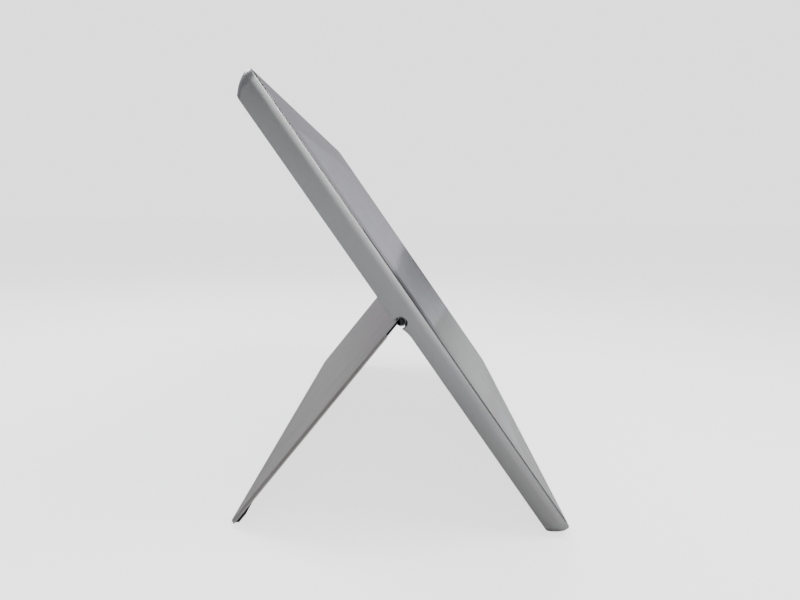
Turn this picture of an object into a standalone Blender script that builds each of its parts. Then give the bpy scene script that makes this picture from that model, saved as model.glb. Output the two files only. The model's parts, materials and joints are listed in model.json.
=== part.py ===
"""A ten-inch digital photo frame on a full-width fold-out stand, opened and standing on a table.

The panel is drawn upright in its own space: X along the width, Y from the glass (0) to the back,
Z up from the bottom edge. One empty leans it back, and a second one, on the hinge axis, opens the
stand. Sizes are in metres. World +Z is up, the glass faces -Y, and Z = 0 is the table.
"""

import math

import bmesh
import bpy
from mathutils import Vector

# Outer form of the panel
WIDTH = 0.250
HEIGHT = 0.175
CORNER_RADIUS = 0.0045
LEAST_CORNER = 0.0025
LEAN = math.radians(35.4)
SIDE_BAND = 0.0020
SIDE_TAPER = 0.0038
TAPER_POWER = 1.35
EDGE_ROUND = 0.0005

# Layers of the display, from the glass to the back
GLASS_THICK = 0.0011
TAPE_THICK = 0.0004
LCD_THICK = 0.0010
GUIDE_THICK = 0.0008
TRAY_SHEET = 0.0004
LAYER_GAP = 0.0002
FIT_GAP = 0.0003
GLASS_PROUD = 0.0002
GLASS_GAP = 0.00025
GLASS_CHAMFER = 0.0002
LED_HEIGHT = 0.0030
LED_SIDE = 0.0040

# Walls of the rear cover
RIM_WALL = 0.0014
LEDGE_WALL = 0.0026
CHAMBER_WALL = 0.0046
CHAMBER_FLOOR = 0.0095
BACK_WALL = 0.0010
GROOVE_WALL = 0.0009

# Bezel widths: from the panel's edge to the display module
BEZEL_SIDE = 0.0105
BEZEL_END = 0.0130
TRAY_RIM = 0.0005

# Stand and hinge
HINGE_HEIGHT = 0.0860
BARREL_RADIUS = 0.0017
STAND_THICK = 0.0014
STAND_GAP = 0.0002
STAND_EDGE = 0.0034
STAND_CORNER = 0.0016
STAND_OVERHANG = 0.0012
END_SLANT = 0.0004
END_CLEAR = 0.0011
NOTCH_WIDTH = 0.0022
NOTCH_DEPTH = 0.0066
NOTCH_SKIN = 0.00045
ROLL_WALL = 0.0005
ROLL_HOLLOW = 0.0040
LIP_HEIGHT = 0.0009
LIP_LENGTH = 0.0042
PAD_THICK = 0.0010
PAD_HEIGHT = 0.0050
PAD_CHAMFER = 0.0004
PAD_SIDE = 0.0020
HINGE_INSET = 0.0400
EYE_LENGTH = 0.0080
EYE_RADIUS = 0.0016
LEAF_THICK = 0.0009
LEAF_WIDTH = 0.0160
LEAF_HEIGHT = 0.0120
PIN_RADIUS = 0.00075
PIN_LENGTH = 0.0240
PIN_GAP = 0.00005
HINGE_SCREW_SIDE = 0.0045
HINGE_SCREW_DROP = 0.0030

# Rounding of the stand's side edges: distance in from the end, then how far the face has fallen
STAND_ROUNDING = ((0.0, 0.0009), (0.0002, 0.00055), (0.0005, 0.00028), (0.001, 0.00008), (0.0016, 0.0))

# Rubber feet
FOOT_PROUD = 0.0004
FOOT_FRONT = 0.0022
FOOT_DEPTH = 0.0028
FOOT_BED = 0.0010
FOOT_SIDE = 0.0140
HEEL_Y = 0.0056
HEEL_HEIGHT = 0.0052

# Circuit board and what sits on it, placed from the panel's right edge and the hinge axis
BOARD_THICK = 0.0008
BOARD_STANDOFF = 0.0009
BOARD_RIGHT = 0.0070
BOARD_RISE = 0.0225
BOARD_WIDTH = 0.0810
BOARD_HEIGHT = 0.0320
BOARD_SCREWS = ((0.085, 0.0515), (0.085, 0.0255), (0.036, 0.0515), (0.022, 0.0255))
SHIELD_SIDES = (0.066, 0.042, 0.031, 0.050)
RADIO_SIDES = (0.086, 0.074, 0.036, 0.048)
PLUG_SIDES = (0.085, 0.080, 0.0287, 0.0337)
BUTTON_SIDE = 0.0280
BUTTON_RISE = 0.0300
BUTTON_PITCH = 0.0100
BUTTON_RADIUS = 0.0026
BUTTON_FLANGE = 0.0032
BUTTON_SINK = 0.0001
BUTTON_CHAMFER = 0.0002
BUTTON_TRAVEL = 0.0003
FLANGE_THICK = 0.0003
SWITCH_HALF = 0.0020
SWITCH_GAP = 0.00005
INLET_RISE = 0.0320
INLET_WIDTH = 0.0089
INLET_THICK = 0.00315
INLET_DEPTH = 0.0074
INLET_SINK = 0.0032
INLET_WALL = 0.0003
INLET_BACK = 0.0012
INLET_TONGUE = (0.00035, 0.0033)
CARD_RISE = 0.0460
CARD_SIZE = 0.0140
CARD_MOUTH = 0.0114
CARD_HALF_SLOT = 0.0004
CARD_BACK = 0.0020
PORT_MARGIN = 0.0006

# Speakers and air slots
SPEAKER_X = 0.0200
SPEAKER_WIDTH = 0.0280
SPEAKER_HEIGHT = 0.0130
SPEAKER_RISE = 0.0090
SLOT_WIDTH = 0.0013
SLOT_PITCH = 0.0032
GRILLE_SLOTS = 8
GRILLE_HEIGHT = 0.0090
VENT_SLOTS = 15
VENT_PITCH = 0.0050
VENT_HEIGHT = 0.0070
VENT_TOP = 0.0200

# Screws
SCREW_RADIUS = 0.0007
SCREW_HEAD = 0.0015
SCREW_HEAD_THICK = 0.0005
SCREW_GAP = 0.0001
BOSS_RADIUS = 0.0017
BOSS_ROOT = 0.0003
SINK_DEPTH = 0.0008
SINK_MARGIN = 0.0004
CASE_SCREW_SIDE = 0.0066
CASE_SCREW_SHARES = (0.19, 0.53, 0.87)  # heights, as shares of the hinge's height
TONGUE_WIDTH = 0.0100
TONGUE_REACH = 0.0008
TONGUE_THICK = 0.0008
TONGUE_PLACES = (-0.070, 0.0, 0.070)

# Flexible leads
RIBBON_WIDTH = 0.0180
RIBBON_THICK = 0.0002
RIBBON_RUN = 0.0180
RIBBON_LEFT = 0.0640
RIBBON_LIFT = 0.0006
RIBBON_PLUG = 0.0030
RIBBON_PLUG_THICK = 0.0012
RIBBON_PLUG_RISE = 0.0015
RIBBON_MARGIN = 0.0010
LEAD_RADIUS = 0.0005
AERIAL_ENDS = (-0.092, -0.060)
AERIAL_TOP = 0.0125
AERIAL_HALF = 0.0035
AERIAL_THICK = 0.0004

CORNER_STEPS = 12
TAPER_STEPS = 8
GROOVE_STEPS = 12
ROLL_STEPS = 18
ROUND_STEPS = 24
LIP_STEPS = 6
SCREW_STEPS = 12
SLOT_STEPS = 6
OVERCUT = 0.001  # how far a cutter runs past the face that it opens

# Depths that follow from the layers
LCD_FRONT = GLASS_THICK + LAYER_GAP
GUIDE_FRONT = LCD_FRONT + LCD_THICK + LAYER_GAP
TRAY_FRONT = GUIDE_FRONT + GUIDE_THICK + LAYER_GAP
TRAY_BACK = TRAY_FRONT + TRAY_SHEET
CHAMBER_FRONT = TRAY_BACK + LAYER_GAP
TAPE_BACK = LCD_FRONT + TAPE_THICK
GROOVE_RADIUS = BARREL_RADIUS + FIT_GAP
AXIS_Y = CHAMBER_FRONT + GROOVE_WALL + GROOVE_RADIUS
THICKNESS = AXIS_Y + BARREL_RADIUS
CHAMBER_BACK = THICKNESS - BACK_WALL
RECESS_Y = THICKNESS - STAND_THICK - STAND_GAP
LOWER_BACK = RECESS_Y - BACK_WALL
BOARD_FRONT = CHAMBER_FRONT + BOARD_STANDOFF
BOARD_BACK = BOARD_FRONT + BOARD_THICK
PARTS_FRONT = BOARD_BACK + LAYER_GAP
PARTS_BACK = CHAMBER_BACK - LAYER_GAP
GROOVE_TOP = HINGE_HEIGHT + GROOVE_RADIUS
BEAM_HALF = GROOVE_RADIUS + GROOVE_WALL
HALF = WIDTH / 2
HINGE_X = HALF - HINGE_INSET


def side_inset(y):
    """How far the outer wall has drawn in from the widest outline at this depth."""
    if y <= SIDE_BAND:
        return 0.0
    return SIDE_TAPER * ((y - SIDE_BAND) / (THICKNESS - SIDE_BAND)) ** TAPER_POWER


def height_of(y, z):
    """Height of a point of the leaning panel above the panel's own origin."""
    return z * math.cos(LEAN) - y * math.sin(LEAN)


# The table lies a little under the cover's lowest line, which is its widest band or its heel.
COVER_LOW = min(height_of(y, side_inset(y)) for y in (SIDE_BAND, FOOT_FRONT, HEEL_Y))
GROUND = COVER_LOW - FOOT_PROUD
AXIS_HEIGHT = height_of(AXIS_Y, HINGE_HEIGHT) - GROUND

# The stand's pad ends this far from the axis, and its inner edge line sets the opening angle.
STAND_REACH = HINGE_HEIGHT + STAND_OVERHANG
PLATE_INNER = BARREL_RADIUS - STAND_THICK
PAD_OUTER = PLATE_INNER - LAYER_GAP
PAD_REACH = HALF - STAND_EDGE - STAND_CORNER - PAD_SIDE
STAND_SLOPE = math.atan2(PAD_OUTER, STAND_REACH) + math.asin(
    AXIS_HEIGHT / math.hypot(STAND_REACH, PAD_OUTER)
)
STAND_OPEN = math.pi / 2 - STAND_SLOPE + LEAN


def clear_scene():
    for thing in list(bpy.data.objects):
        bpy.data.objects.remove(thing, do_unlink=True)


def make_material(name, colour, roughness, metallic):
    made = bpy.data.materials.new(name)
    made.use_nodes = True
    shader = made.node_tree.nodes["Principled BSDF"]
    shader.inputs["Base Color"].default_value = (*colour, 1.0)
    shader.inputs["Roughness"].default_value = roughness
    shader.inputs["Metallic"].default_value = metallic
    return made


def add_empty(name, parent, location, turn=0.0):
    empty = bpy.data.objects.new(name, None)
    empty.parent = parent
    empty.location = location
    empty.rotation_euler = (turn, 0.0, 0.0)
    bpy.context.scene.collection.objects.link(empty)
    return empty


def add_object(name, bm, parent, material, smooth=False, location=(0.0, 0.0, 0.0)):
    mesh = bpy.data.meshes.new(name)
    bm.to_mesh(mesh)
    bm.free()
    mesh.materials.append(material)
    if smooth:
        mesh.shade_smooth()
        mesh.set_sharp_from_angle(angle=math.radians(35))
    made = bpy.data.objects.new(name, mesh)
    made.parent = parent
    made.location = location
    bpy.context.scene.collection.objects.link(made)
    return made


def combine(target, bm, name, operation="DIFFERENCE"):
    """Cuts a shape from the target, or joins it on, by a live Boolean with a hidden helper."""
    helper = add_object(name, bm, target.parent, target.data.materials[0])
    helper.location = target.location
    helper.hide_render = True
    helper.display_type = "WIRE"
    modifier = target.modifiers.new(name, "BOOLEAN")
    modifier.operation = operation
    modifier.solver = "EXACT"
    modifier.object = helper


def add_loft(bm, rings):
    """Skins a closed body through rings that have the same number of points."""
    rows = [[bm.verts.new(point) for point in ring] for ring in rings]
    faces = []
    for near, far in zip(rows, rows[1:]):
        for i in range(len(near)):
            j = (i + 1) % len(near)
            faces.append(bm.faces.new((near[i], near[j], far[j], far[i])))
    faces.append(bm.faces.new(rows[0]))
    faces.append(bm.faces.new(rows[-1][::-1]))
    bmesh.ops.recalc_face_normals(bm, faces=faces)


def loft(rings):
    bm = bmesh.new()
    add_loft(bm, rings)
    return bm


def rounded_outline(half_width, low, high, radius):
    """Points (x, z) of an upright rounded rectangle."""
    points = []
    centres = (
        (half_width - radius, high - radius),
        (radius - half_width, high - radius),
        (radius - half_width, low + radius),
        (half_width - radius, low + radius),
    )
    for quarter, (x, z) in enumerate(centres):
        for step in range(CORNER_STEPS + 1):
            angle = math.pi / 2 * (quarter + step / CORNER_STEPS)
            points.append((x + radius * math.cos(angle), z + radius * math.sin(angle)))
    return points


def panel_outline(inset):
    """The panel's outline, drawn in all round by the inset."""
    radius = max(CORNER_RADIUS - inset, LEAST_CORNER)
    return rounded_outline(HALF - inset, inset, HEIGHT - inset, radius)


def add_plate(bm, outline, front, back):
    add_loft(bm, [[(x, y, z) for x, z in outline] for y in (front, back)])


def plate(outline, front, back):
    bm = bmesh.new()
    add_plate(bm, outline, front, back)
    return bm


def add_box(bm, x, y, z):
    """A box between the two ends given on each axis."""
    corners = [(x[0], z[0]), (x[1], z[0]), (x[1], z[1]), (x[0], z[1])]
    add_plate(bm, corners, y[0], y[1])


def box(x, y, z):
    bm = bmesh.new()
    add_box(bm, x, y, z)
    return bm


def add_bar(bm, profile, x):
    """Runs a profile of (y, z) points along X."""
    add_loft(bm, [[(end, py, pz) for py, pz in profile] for end in x])


def bar(profile, x):
    bm = bmesh.new()
    add_bar(bm, profile, x)
    return bm


def circle(radius, steps, y=0.0, z=0.0):
    """A circle of (y, z) points, for a bar along X."""
    angles = [math.tau * i / steps for i in range(steps)]
    return [(y + radius * math.cos(a), z + radius * math.sin(a)) for a in angles]


def add_turned(bm, x, z, profile, steps):
    """A turned piece about a line along Y, from (depth, radius) pairs."""
    rings = []
    for y, radius in profile:
        angles = [math.tau * i / steps for i in range(steps)]
        rings.append([(x + radius * math.cos(a), y, z + radius * math.sin(a)) for a in angles])
    add_loft(bm, rings)


def turned(x, z, profile, steps=ROUND_STEPS):
    bm = bmesh.new()
    add_turned(bm, x, z, profile, steps)
    return bm


def slot_outline(width, length):
    """A slot with round ends, centred on zero and long in its second direction."""
    radius = width / 2
    points = []
    for end, start in ((length / 2 - radius, 0.0), (radius - length / 2, math.pi)):
        for step in range(SLOT_STEPS + 1):
            angle = start + math.pi * step / SLOT_STEPS
            points.append((radius * math.cos(angle), end + radius * math.sin(angle)))
    return points


def add_slots(bm, centre_x, centre_z, count, pitch, length, y):
    for index in range(count):
        x = centre_x + pitch * (index - (count - 1) / 2)
        outline = [(x + px, centre_z + pz) for px, pz in slot_outline(SLOT_WIDTH, length)]
        add_plate(bm, outline, y[0], y[1])


def build_glass(panel, material):
    inset = RIM_WALL + GLASS_GAP
    rings = [
        [(x, 0.0, z) for x, z in panel_outline(inset + GLASS_CHAMFER)],
        [(x, GLASS_CHAMFER, z) for x, z in panel_outline(inset)],
        [(x, GLASS_THICK, z) for x, z in panel_outline(inset)],
    ]
    add_object("cover_glass", loft(rings), panel, material)


def module_outline(margin):
    """The display module's outline, grown by the margin."""
    half = HALF - BEZEL_SIDE + margin
    low = BEZEL_END - margin
    corners = [(half, low), (half, HEIGHT - low), (-half, HEIGHT - low), (-half, low)]
    return corners[::-1]


def build_gasket(panel, material):
    outer = panel_outline(LEDGE_WALL + FIT_GAP)
    tape = add_object("glass_tape", plate(outer, LCD_FRONT, TAPE_BACK), panel, material)
    hole = plate(module_outline(FIT_GAP), LCD_FRONT - OVERCUT, TAPE_BACK + OVERCUT)
    combine(tape, hole, "glass_tape_window")


def build_display(panel, looks):
    lcd = plate(module_outline(-FIT_GAP), LCD_FRONT, LCD_FRONT + LCD_THICK)
    add_object("lcd_panel", lcd, panel, looks["lcd"])

    inside = TRAY_RIM + FIT_GAP
    top = HEIGHT - BEZEL_END - inside
    led_low = top - LED_HEIGHT
    guide = [(x, min(z, led_low - FIT_GAP)) for x, z in module_outline(-inside)]
    back = GUIDE_FRONT + GUIDE_THICK
    add_object("light_guide", plate(guide, GUIDE_FRONT, back), panel, looks["guide"])

    half = HALF - BEZEL_SIDE - inside - LED_SIDE
    leds = box((-half, half), (GUIDE_FRONT, back), (led_low, top))
    add_object("led_strip", leds, panel, looks["board"])

    tray = plate(module_outline(0.0), GUIDE_FRONT, TRAY_BACK)
    tray = add_object("backlight_tray", tray, panel, looks["steel"])
    hollow = plate(module_outline(-TRAY_RIM), GUIDE_FRONT - OVERCUT, TRAY_FRONT)
    combine(tray, hollow, "backlight_tray_hollow")


def case_screw_places():
    for side in (-1, 1):
        for share in CASE_SCREW_SHARES:
            yield side * (HALF - CASE_SCREW_SIDE), share * HINGE_HEIGHT


def add_tongues(bm, gap):
    """The frame's three top tongues, or with a gap the pockets that take them."""
    edge = HEIGHT - LEDGE_WALL - FIT_GAP
    middle = (TAPE_BACK + TRAY_BACK) / 2
    for x in TONGUE_PLACES:
        add_box(
            bm,
            (x - TONGUE_WIDTH / 2 - gap, x + TONGUE_WIDTH / 2 + gap),
            (middle - TONGUE_THICK / 2 - gap, middle + TONGUE_THICK / 2 + gap),
            (edge - OVERCUT, edge + TONGUE_REACH + gap),
        )


def build_display_frame(panel, material):
    front = TAPE_BACK + LAYER_GAP
    outer = panel_outline(LEDGE_WALL + FIT_GAP)
    frame = add_object("display_frame", plate(outer, front, TRAY_BACK), panel, material)
    window = plate(module_outline(FIT_GAP), front - OVERCUT, TRAY_BACK + OVERCUT)
    combine(frame, window, "display_frame_window")

    bosses = bmesh.new()
    holes = bmesh.new()
    root = TRAY_BACK - BOSS_ROOT
    top = LOWER_BACK - LAYER_GAP
    bore = SCREW_RADIUS + SCREW_GAP
    for x, z in case_screw_places():
        add_turned(bosses, x, z, [(root, BOSS_RADIUS), (top, BOSS_RADIUS)], SCREW_STEPS)
        add_turned(holes, x, z, [(TRAY_BACK, bore), (top + OVERCUT, bore)], SCREW_STEPS)
    add_tongues(bosses, 0.0)
    combine(frame, bosses, "display_frame_bosses", "UNION")
    combine(frame, holes, "display_frame_holes")


def cover_rings():
    """Outlines of the cover's outer wall, from its front rim to its back face."""
    front = GLASS_PROUD
    steps = [
        (front, EDGE_ROUND),
        (front + 0.3 * EDGE_ROUND, 0.4 * EDGE_ROUND),
        (front + EDGE_ROUND, 0.0),
    ]
    last = THICKNESS - EDGE_ROUND
    for index in range(TAPER_STEPS + 1):
        y = SIDE_BAND + (last - SIDE_BAND) * index / TAPER_STEPS
        steps.append((y, side_inset(y)))
    steps.append((THICKNESS - 0.3 * EDGE_ROUND, side_inset(last) + 0.4 * EDGE_ROUND))
    steps.append((THICKNESS, side_inset(last) + EDGE_ROUND))
    return [[(x, y, z) for x, z in panel_outline(inset)] for y, inset in steps]


def chamber_outline(low, high):
    half = HALF - CHAMBER_WALL
    return [(-half, low), (half, low), (half, high), (-half, high)]


def cut_chambers(cover):
    front = -OVERCUT
    seat = plate(panel_outline(RIM_WALL), front, TAPE_BACK)
    combine(cover, seat, "cover_glass_seat")
    bay = plate(panel_outline(LEDGE_WALL), front, CHAMBER_FRONT)
    combine(cover, bay, "cover_display_bay")

    rooms = bmesh.new()
    lower = chamber_outline(CHAMBER_FLOOR, HINGE_HEIGHT - BEAM_HALF)
    add_plate(rooms, lower, CHAMBER_FRONT - OVERCUT, LOWER_BACK)
    upper = chamber_outline(HINGE_HEIGHT + BEAM_HALF, HEIGHT - CHAMBER_WALL)
    add_plate(rooms, upper, CHAMBER_FRONT - OVERCUT, CHAMBER_BACK)
    combine(cover, rooms, "cover_rooms")


def cut_stand_recess(cover):
    """The bay that the folded stand fills: a round groove, a shallow floor and a heel for its pad.

    At each side a faired lip is left below the groove, which fits the rebate in the stand's corner.
    """
    back = THICKNESS + OVERCUT
    profile = [(back, -OVERCUT), (back, GROOVE_TOP), (AXIS_Y, GROOVE_TOP)]
    for step in range(1, GROOVE_STEPS + 1):
        angle = math.pi / 2 + math.pi * step / GROOVE_STEPS
        y = AXIS_Y + GROOVE_RADIUS * math.cos(angle)
        z = HINGE_HEIGHT + GROOVE_RADIUS * math.sin(angle)
        profile.append((y, z))
    lip_top = HINGE_HEIGHT - GROOVE_RADIUS
    for step in range(LIP_STEPS + 1):
        share = step / LIP_STEPS
        profile.append((RECESS_Y + LIP_HEIGHT * (1 - share) ** 2, lip_top - LIP_LENGTH * share))
    profile.append((RECESS_Y, -OVERCUT))
    ends = (-HALF - OVERCUT, HALF + OVERCUT)
    combine(cover, bar(profile, ends), "cover_stand_recess")

    mouth = RECESS_Y + OVERCUT
    heel = [(mouth, -OVERCUT), (mouth, HEEL_HEIGHT + mouth - HEEL_Y), (HEEL_Y, HEEL_HEIGHT)]
    heel.append((HEEL_Y, -OVERCUT))
    pad_room = PAD_REACH + FIT_GAP
    combine(cover, bar(heel, (-pad_room, pad_room)), "cover_heel")

    reach = HALF - STAND_EDGE - NOTCH_WIDTH + FIT_GAP
    lips = box((-reach, reach), (RECESS_Y, back), (lip_top - LIP_LENGTH, HINGE_HEIGHT))
    combine(cover, lips, "cover_between_lips")


def board_screw_places():
    for from_right, rise in BOARD_SCREWS:
        yield HALF - from_right, HINGE_HEIGHT + rise


def hinge_screw_places():
    z = HINGE_HEIGHT + LEAF_HEIGHT - HINGE_SCREW_DROP
    for side in (-1, 1):
        for step in (-1, 1):
            yield side * HINGE_X + step * HINGE_SCREW_SIDE, z


def leaf_depths():
    """The hinge leaf lies flat against the eye's front half."""
    return AXIS_Y - LEAF_THICK, AXIS_Y


def add_cover_bosses(cover):
    bosses = bmesh.new()
    holes = bmesh.new()
    bore = SCREW_RADIUS + SCREW_GAP
    blind = THICKNESS - 0.5 * BACK_WALL
    for x, z in board_screw_places():
        ends = [(PARTS_FRONT, BOSS_RADIUS), (CHAMBER_BACK + BOSS_ROOT, BOSS_RADIUS)]
        add_turned(bosses, x, z, ends, SCREW_STEPS)
        add_turned(holes, x, z, [(PARTS_FRONT - OVERCUT, bore), (blind, bore)], SCREW_STEPS)
    for x, z in hinge_screw_places():
        front = leaf_depths()[1] + LAYER_GAP
        ends = [(front, BOSS_RADIUS), (CHAMBER_BACK + BOSS_ROOT, BOSS_RADIUS)]
        add_turned(bosses, x, z, ends, SCREW_STEPS)
        add_turned(holes, x, z, [(front - OVERCUT, bore), (blind, bore)], SCREW_STEPS)
    combine(cover, bosses, "cover_bosses", "UNION")
    combine(cover, holes, "cover_boss_holes")


def cut_cover_openings(cover):
    through = (CHAMBER_BACK - OVERCUT, THICKNESS + OVERCUT)
    slots = bmesh.new()
    middle = HINGE_HEIGHT + SPEAKER_RISE + SPEAKER_HEIGHT / 2
    for side in (-1, 1):
        add_slots(slots, side * SPEAKER_X, middle, GRILLE_SLOTS, SLOT_PITCH, GRILLE_HEIGHT, through)
    add_slots(slots, 0.0, HEIGHT - VENT_TOP, VENT_SLOTS, VENT_PITCH, VENT_HEIGHT, through)
    combine(cover, slots, "cover_slots")

    holes = bmesh.new()
    for x, z in button_places():
        rim = BUTTON_RADIUS + FIT_GAP
        add_turned(holes, x, z, [(through[0], rim), (through[1], rim)], ROUND_STEPS)
    bore = SCREW_RADIUS + 2 * SCREW_GAP
    sink = [
        (LOWER_BACK - OVERCUT, bore),
        (RECESS_Y - SINK_DEPTH, bore),
        (RECESS_Y + 0.2 * OVERCUT, SCREW_HEAD + SINK_MARGIN),
    ]
    for x, z in case_screw_places():
        add_turned(holes, x, z, sink, SCREW_STEPS)
    combine(cover, holes, "cover_round_holes")

    ports = bmesh.new()
    through = (HALF - CHAMBER_WALL - OVERCUT, HALF + OVERCUT)
    y, z = inlet_centre()
    mouth = slot_outline(INLET_THICK + PORT_MARGIN, INLET_WIDTH + PORT_MARGIN)
    add_bar(ports, [(y + py, z + pz) for py, pz in mouth], through)
    z = HINGE_HEIGHT + CARD_RISE
    y = (PARTS_FRONT + PARTS_BACK) / 2
    tall = CARD_MOUTH / 2 + PORT_MARGIN
    add_box(ports, through, (y - PORT_MARGIN, y + PORT_MARGIN), (z - tall, z + tall))
    combine(cover, ports, "cover_side_ports")


def cut_cover_fittings(cover):
    """The windows that the hinge leaves pass through, the tongue pockets and the foot's bed."""
    windows = bmesh.new()
    front, back = leaf_depths()
    half = EYE_LENGTH / 2 + FIT_GAP
    low = HINGE_HEIGHT + 0.5 * GROOVE_RADIUS
    high = HINGE_HEIGHT + BEAM_HALF + OVERCUT
    for side in (-1, 1):
        x = side * HINGE_X
        add_box(windows, (x - half, x + half), (front - FIT_GAP, back + FIT_GAP), (low, high))
    combine(cover, windows, "cover_hinge_windows")

    pockets = bmesh.new()
    add_tongues(pockets, FIT_GAP)
    combine(cover, pockets, "cover_tongue_pockets")
    combine(cover, foot_bar(FIT_GAP), "cover_foot_bed")


def build_rear_cover(panel, material):
    cover = add_object("rear_cover", loft(cover_rings()), panel, material, smooth=True)
    cut_chambers(cover)
    add_cover_bosses(cover)
    cut_stand_recess(cover)
    cut_cover_openings(cover)
    cut_cover_fittings(cover)


def foot_bar(gap):
    """The base foot: level on the table, sunk in the cover's tapered bottom edge."""
    front = FOOT_FRONT - gap
    back = FOOT_FRONT + FOOT_DEPTH + gap
    bed = FOOT_BED + gap
    floor = GROUND - (OVERCUT if gap else 0.0)
    slope = math.sin(LEAN)
    run = math.cos(LEAN)
    profile = [
        (front, (floor + front * slope) / run),
        (back, (floor + back * slope) / run),
        (back, side_inset(back) + bed),
        (front, side_inset(front) + bed),
    ]
    reach = HALF - FOOT_SIDE + gap
    return bar(profile, (-reach, reach))


def plate_profile(outer, reach):
    """Section of the stand: a rolled top edge about the axis, then a flat plate down to its end."""
    stop = math.tau - math.acos(min(1.0, PLATE_INNER / outer))
    points = [(outer, -reach)]
    for step in range(ROLL_STEPS + 1):
        angle = stop * step / ROLL_STEPS
        points.append((outer * math.cos(angle), outer * math.sin(angle)))
    points.append((PLATE_INNER, -reach - END_SLANT))
    return points


def plate_end():
    """Distance from the axis to the plate's end, which stays just clear of the table."""
    table = (AXIS_HEIGHT + PLATE_INNER * math.cos(STAND_SLOPE)) / math.sin(STAND_SLOPE)
    return table - END_CLEAR


def build_stand_plate(pivot, material):
    """The plate, with a rebate inside each top corner for the cover's lip, and hollow roll ends."""
    half = HALF - STAND_EDGE
    stations = [(-half + inset, inset, fall) for inset, fall in STAND_ROUNDING]
    stations += [(half - inset, inset, fall) for inset, fall in STAND_ROUNDING[::-1]]
    rings = []
    for x, inset, fall in stations:
        short = max(0.0, STAND_CORNER - inset)
        lift = STAND_CORNER - math.sqrt(STAND_CORNER**2 - short**2)
        profile = plate_profile(BARREL_RADIUS - fall, plate_end() - lift)
        rings.append([(x, y, z) for y, z in profile])
    stand = add_object("stand_plate", loft(rings), pivot, material, smooth=True)

    notches = bmesh.new()
    rebates = bmesh.new()
    bores = bmesh.new()
    half_notch = EYE_LENGTH / 2 + FIT_GAP
    half_bore = PIN_LENGTH / 2 + FIT_GAP
    deep = BARREL_RADIUS + 2 * FIT_GAP
    past = BARREL_RADIUS + OVERCUT
    bore = circle(PIN_RADIUS + PIN_GAP, ROUND_STEPS)
    hollow = circle(BARREL_RADIUS - ROLL_WALL, ROUND_STEPS)
    for side in (-1, 1):
        x = side * HINGE_X
        add_box(notches, (x - half_notch, x + half_notch), (-past, past), (-deep, past))
        corner = sorted((side * (half - NOTCH_WIDTH), side * (half + OVERCUT)))
        add_box(rebates, corner, (-past, BARREL_RADIUS - NOTCH_SKIN), (-NOTCH_DEPTH, past))
        add_box(notches, corner, (-past, past), (0.0, past))
        add_bar(bores, bore, (x - half_bore, x + half_bore))
        ends = (side * (half - NOTCH_WIDTH - ROLL_HOLLOW), side * (half - NOTCH_WIDTH + OVERCUT))
        add_bar(bores, hollow, sorted(ends))
    combine(stand, notches, "stand_notches")
    combine(stand, rebates, "stand_rebates")
    combine(stand, bores, "stand_bores")


def build_stand_pad(pivot, material):
    """A rubber strip inside the stand's lower edge, cut level with the table."""
    inner = PAD_OUTER - PAD_THICK

    def ground_at(y):
        return -(AXIS_HEIGHT + y * math.cos(STAND_SLOPE)) / math.sin(STAND_SLOPE)

    low = ground_at(PAD_OUTER)
    profile = [
        (PAD_OUTER, low),
        (PAD_OUTER, low + PAD_HEIGHT),
        (inner + PAD_CHAMFER, low + PAD_HEIGHT),
        (inner, low + PAD_HEIGHT - PAD_CHAMFER),
        (inner, ground_at(inner)),
    ]
    add_object("stand_foot", bar(profile, (-PAD_REACH, PAD_REACH)), pivot, material)


def build_hinge(panel, pivot, side, name, looks):
    """A bracket with a round eye in the stand's notch, and the pin that the stand turns on."""
    x = side * HINGE_X
    eye = (x - EYE_LENGTH / 2, x + EYE_LENGTH / 2)
    shape = bar(circle(EYE_RADIUS, ROUND_STEPS, AXIS_Y, HINGE_HEIGHT), eye)
    bracket = add_object("hinge_bracket_" + name, shape, panel, looks["steel"], smooth=True)

    front, back = leaf_depths()
    neck_low = HINGE_HEIGHT + 0.5 * EYE_RADIUS
    neck_top = HINGE_HEIGHT + BEAM_HALF + FIT_GAP
    leaf_top = HINGE_HEIGHT + LEAF_HEIGHT
    wide = (x - LEAF_WIDTH / 2, x + LEAF_WIDTH / 2)
    outline = [(eye[0], neck_low), (eye[1], neck_low), (eye[1], neck_top), (wide[1], neck_top)]
    outline += [(wide[1], leaf_top), (wide[0], leaf_top), (wide[0], neck_top), (eye[0], neck_top)]
    combine(bracket, plate(outline, front, back), "hinge_leaf_" + name, "UNION")
    holes = bmesh.new()
    bore = circle(PIN_RADIUS + PIN_GAP, ROUND_STEPS, AXIS_Y, HINGE_HEIGHT)
    add_bar(holes, bore, (eye[0] - OVERCUT, eye[1] + OVERCUT))
    bore = SCREW_RADIUS + 2 * SCREW_GAP
    ends = [(front - OVERCUT, bore), (back + OVERCUT, bore)]
    for px, pz in hinge_screw_places():
        if px * side > 0:
            add_turned(holes, px, pz, ends, SCREW_STEPS)
    combine(bracket, holes, "hinge_holes_" + name)

    pin = bar(circle(PIN_RADIUS, ROUND_STEPS), (x - PIN_LENGTH / 2, x + PIN_LENGTH / 2))
    add_object("hinge_pin_" + name, pin, pivot, looks["steel"], smooth=True)


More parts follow.
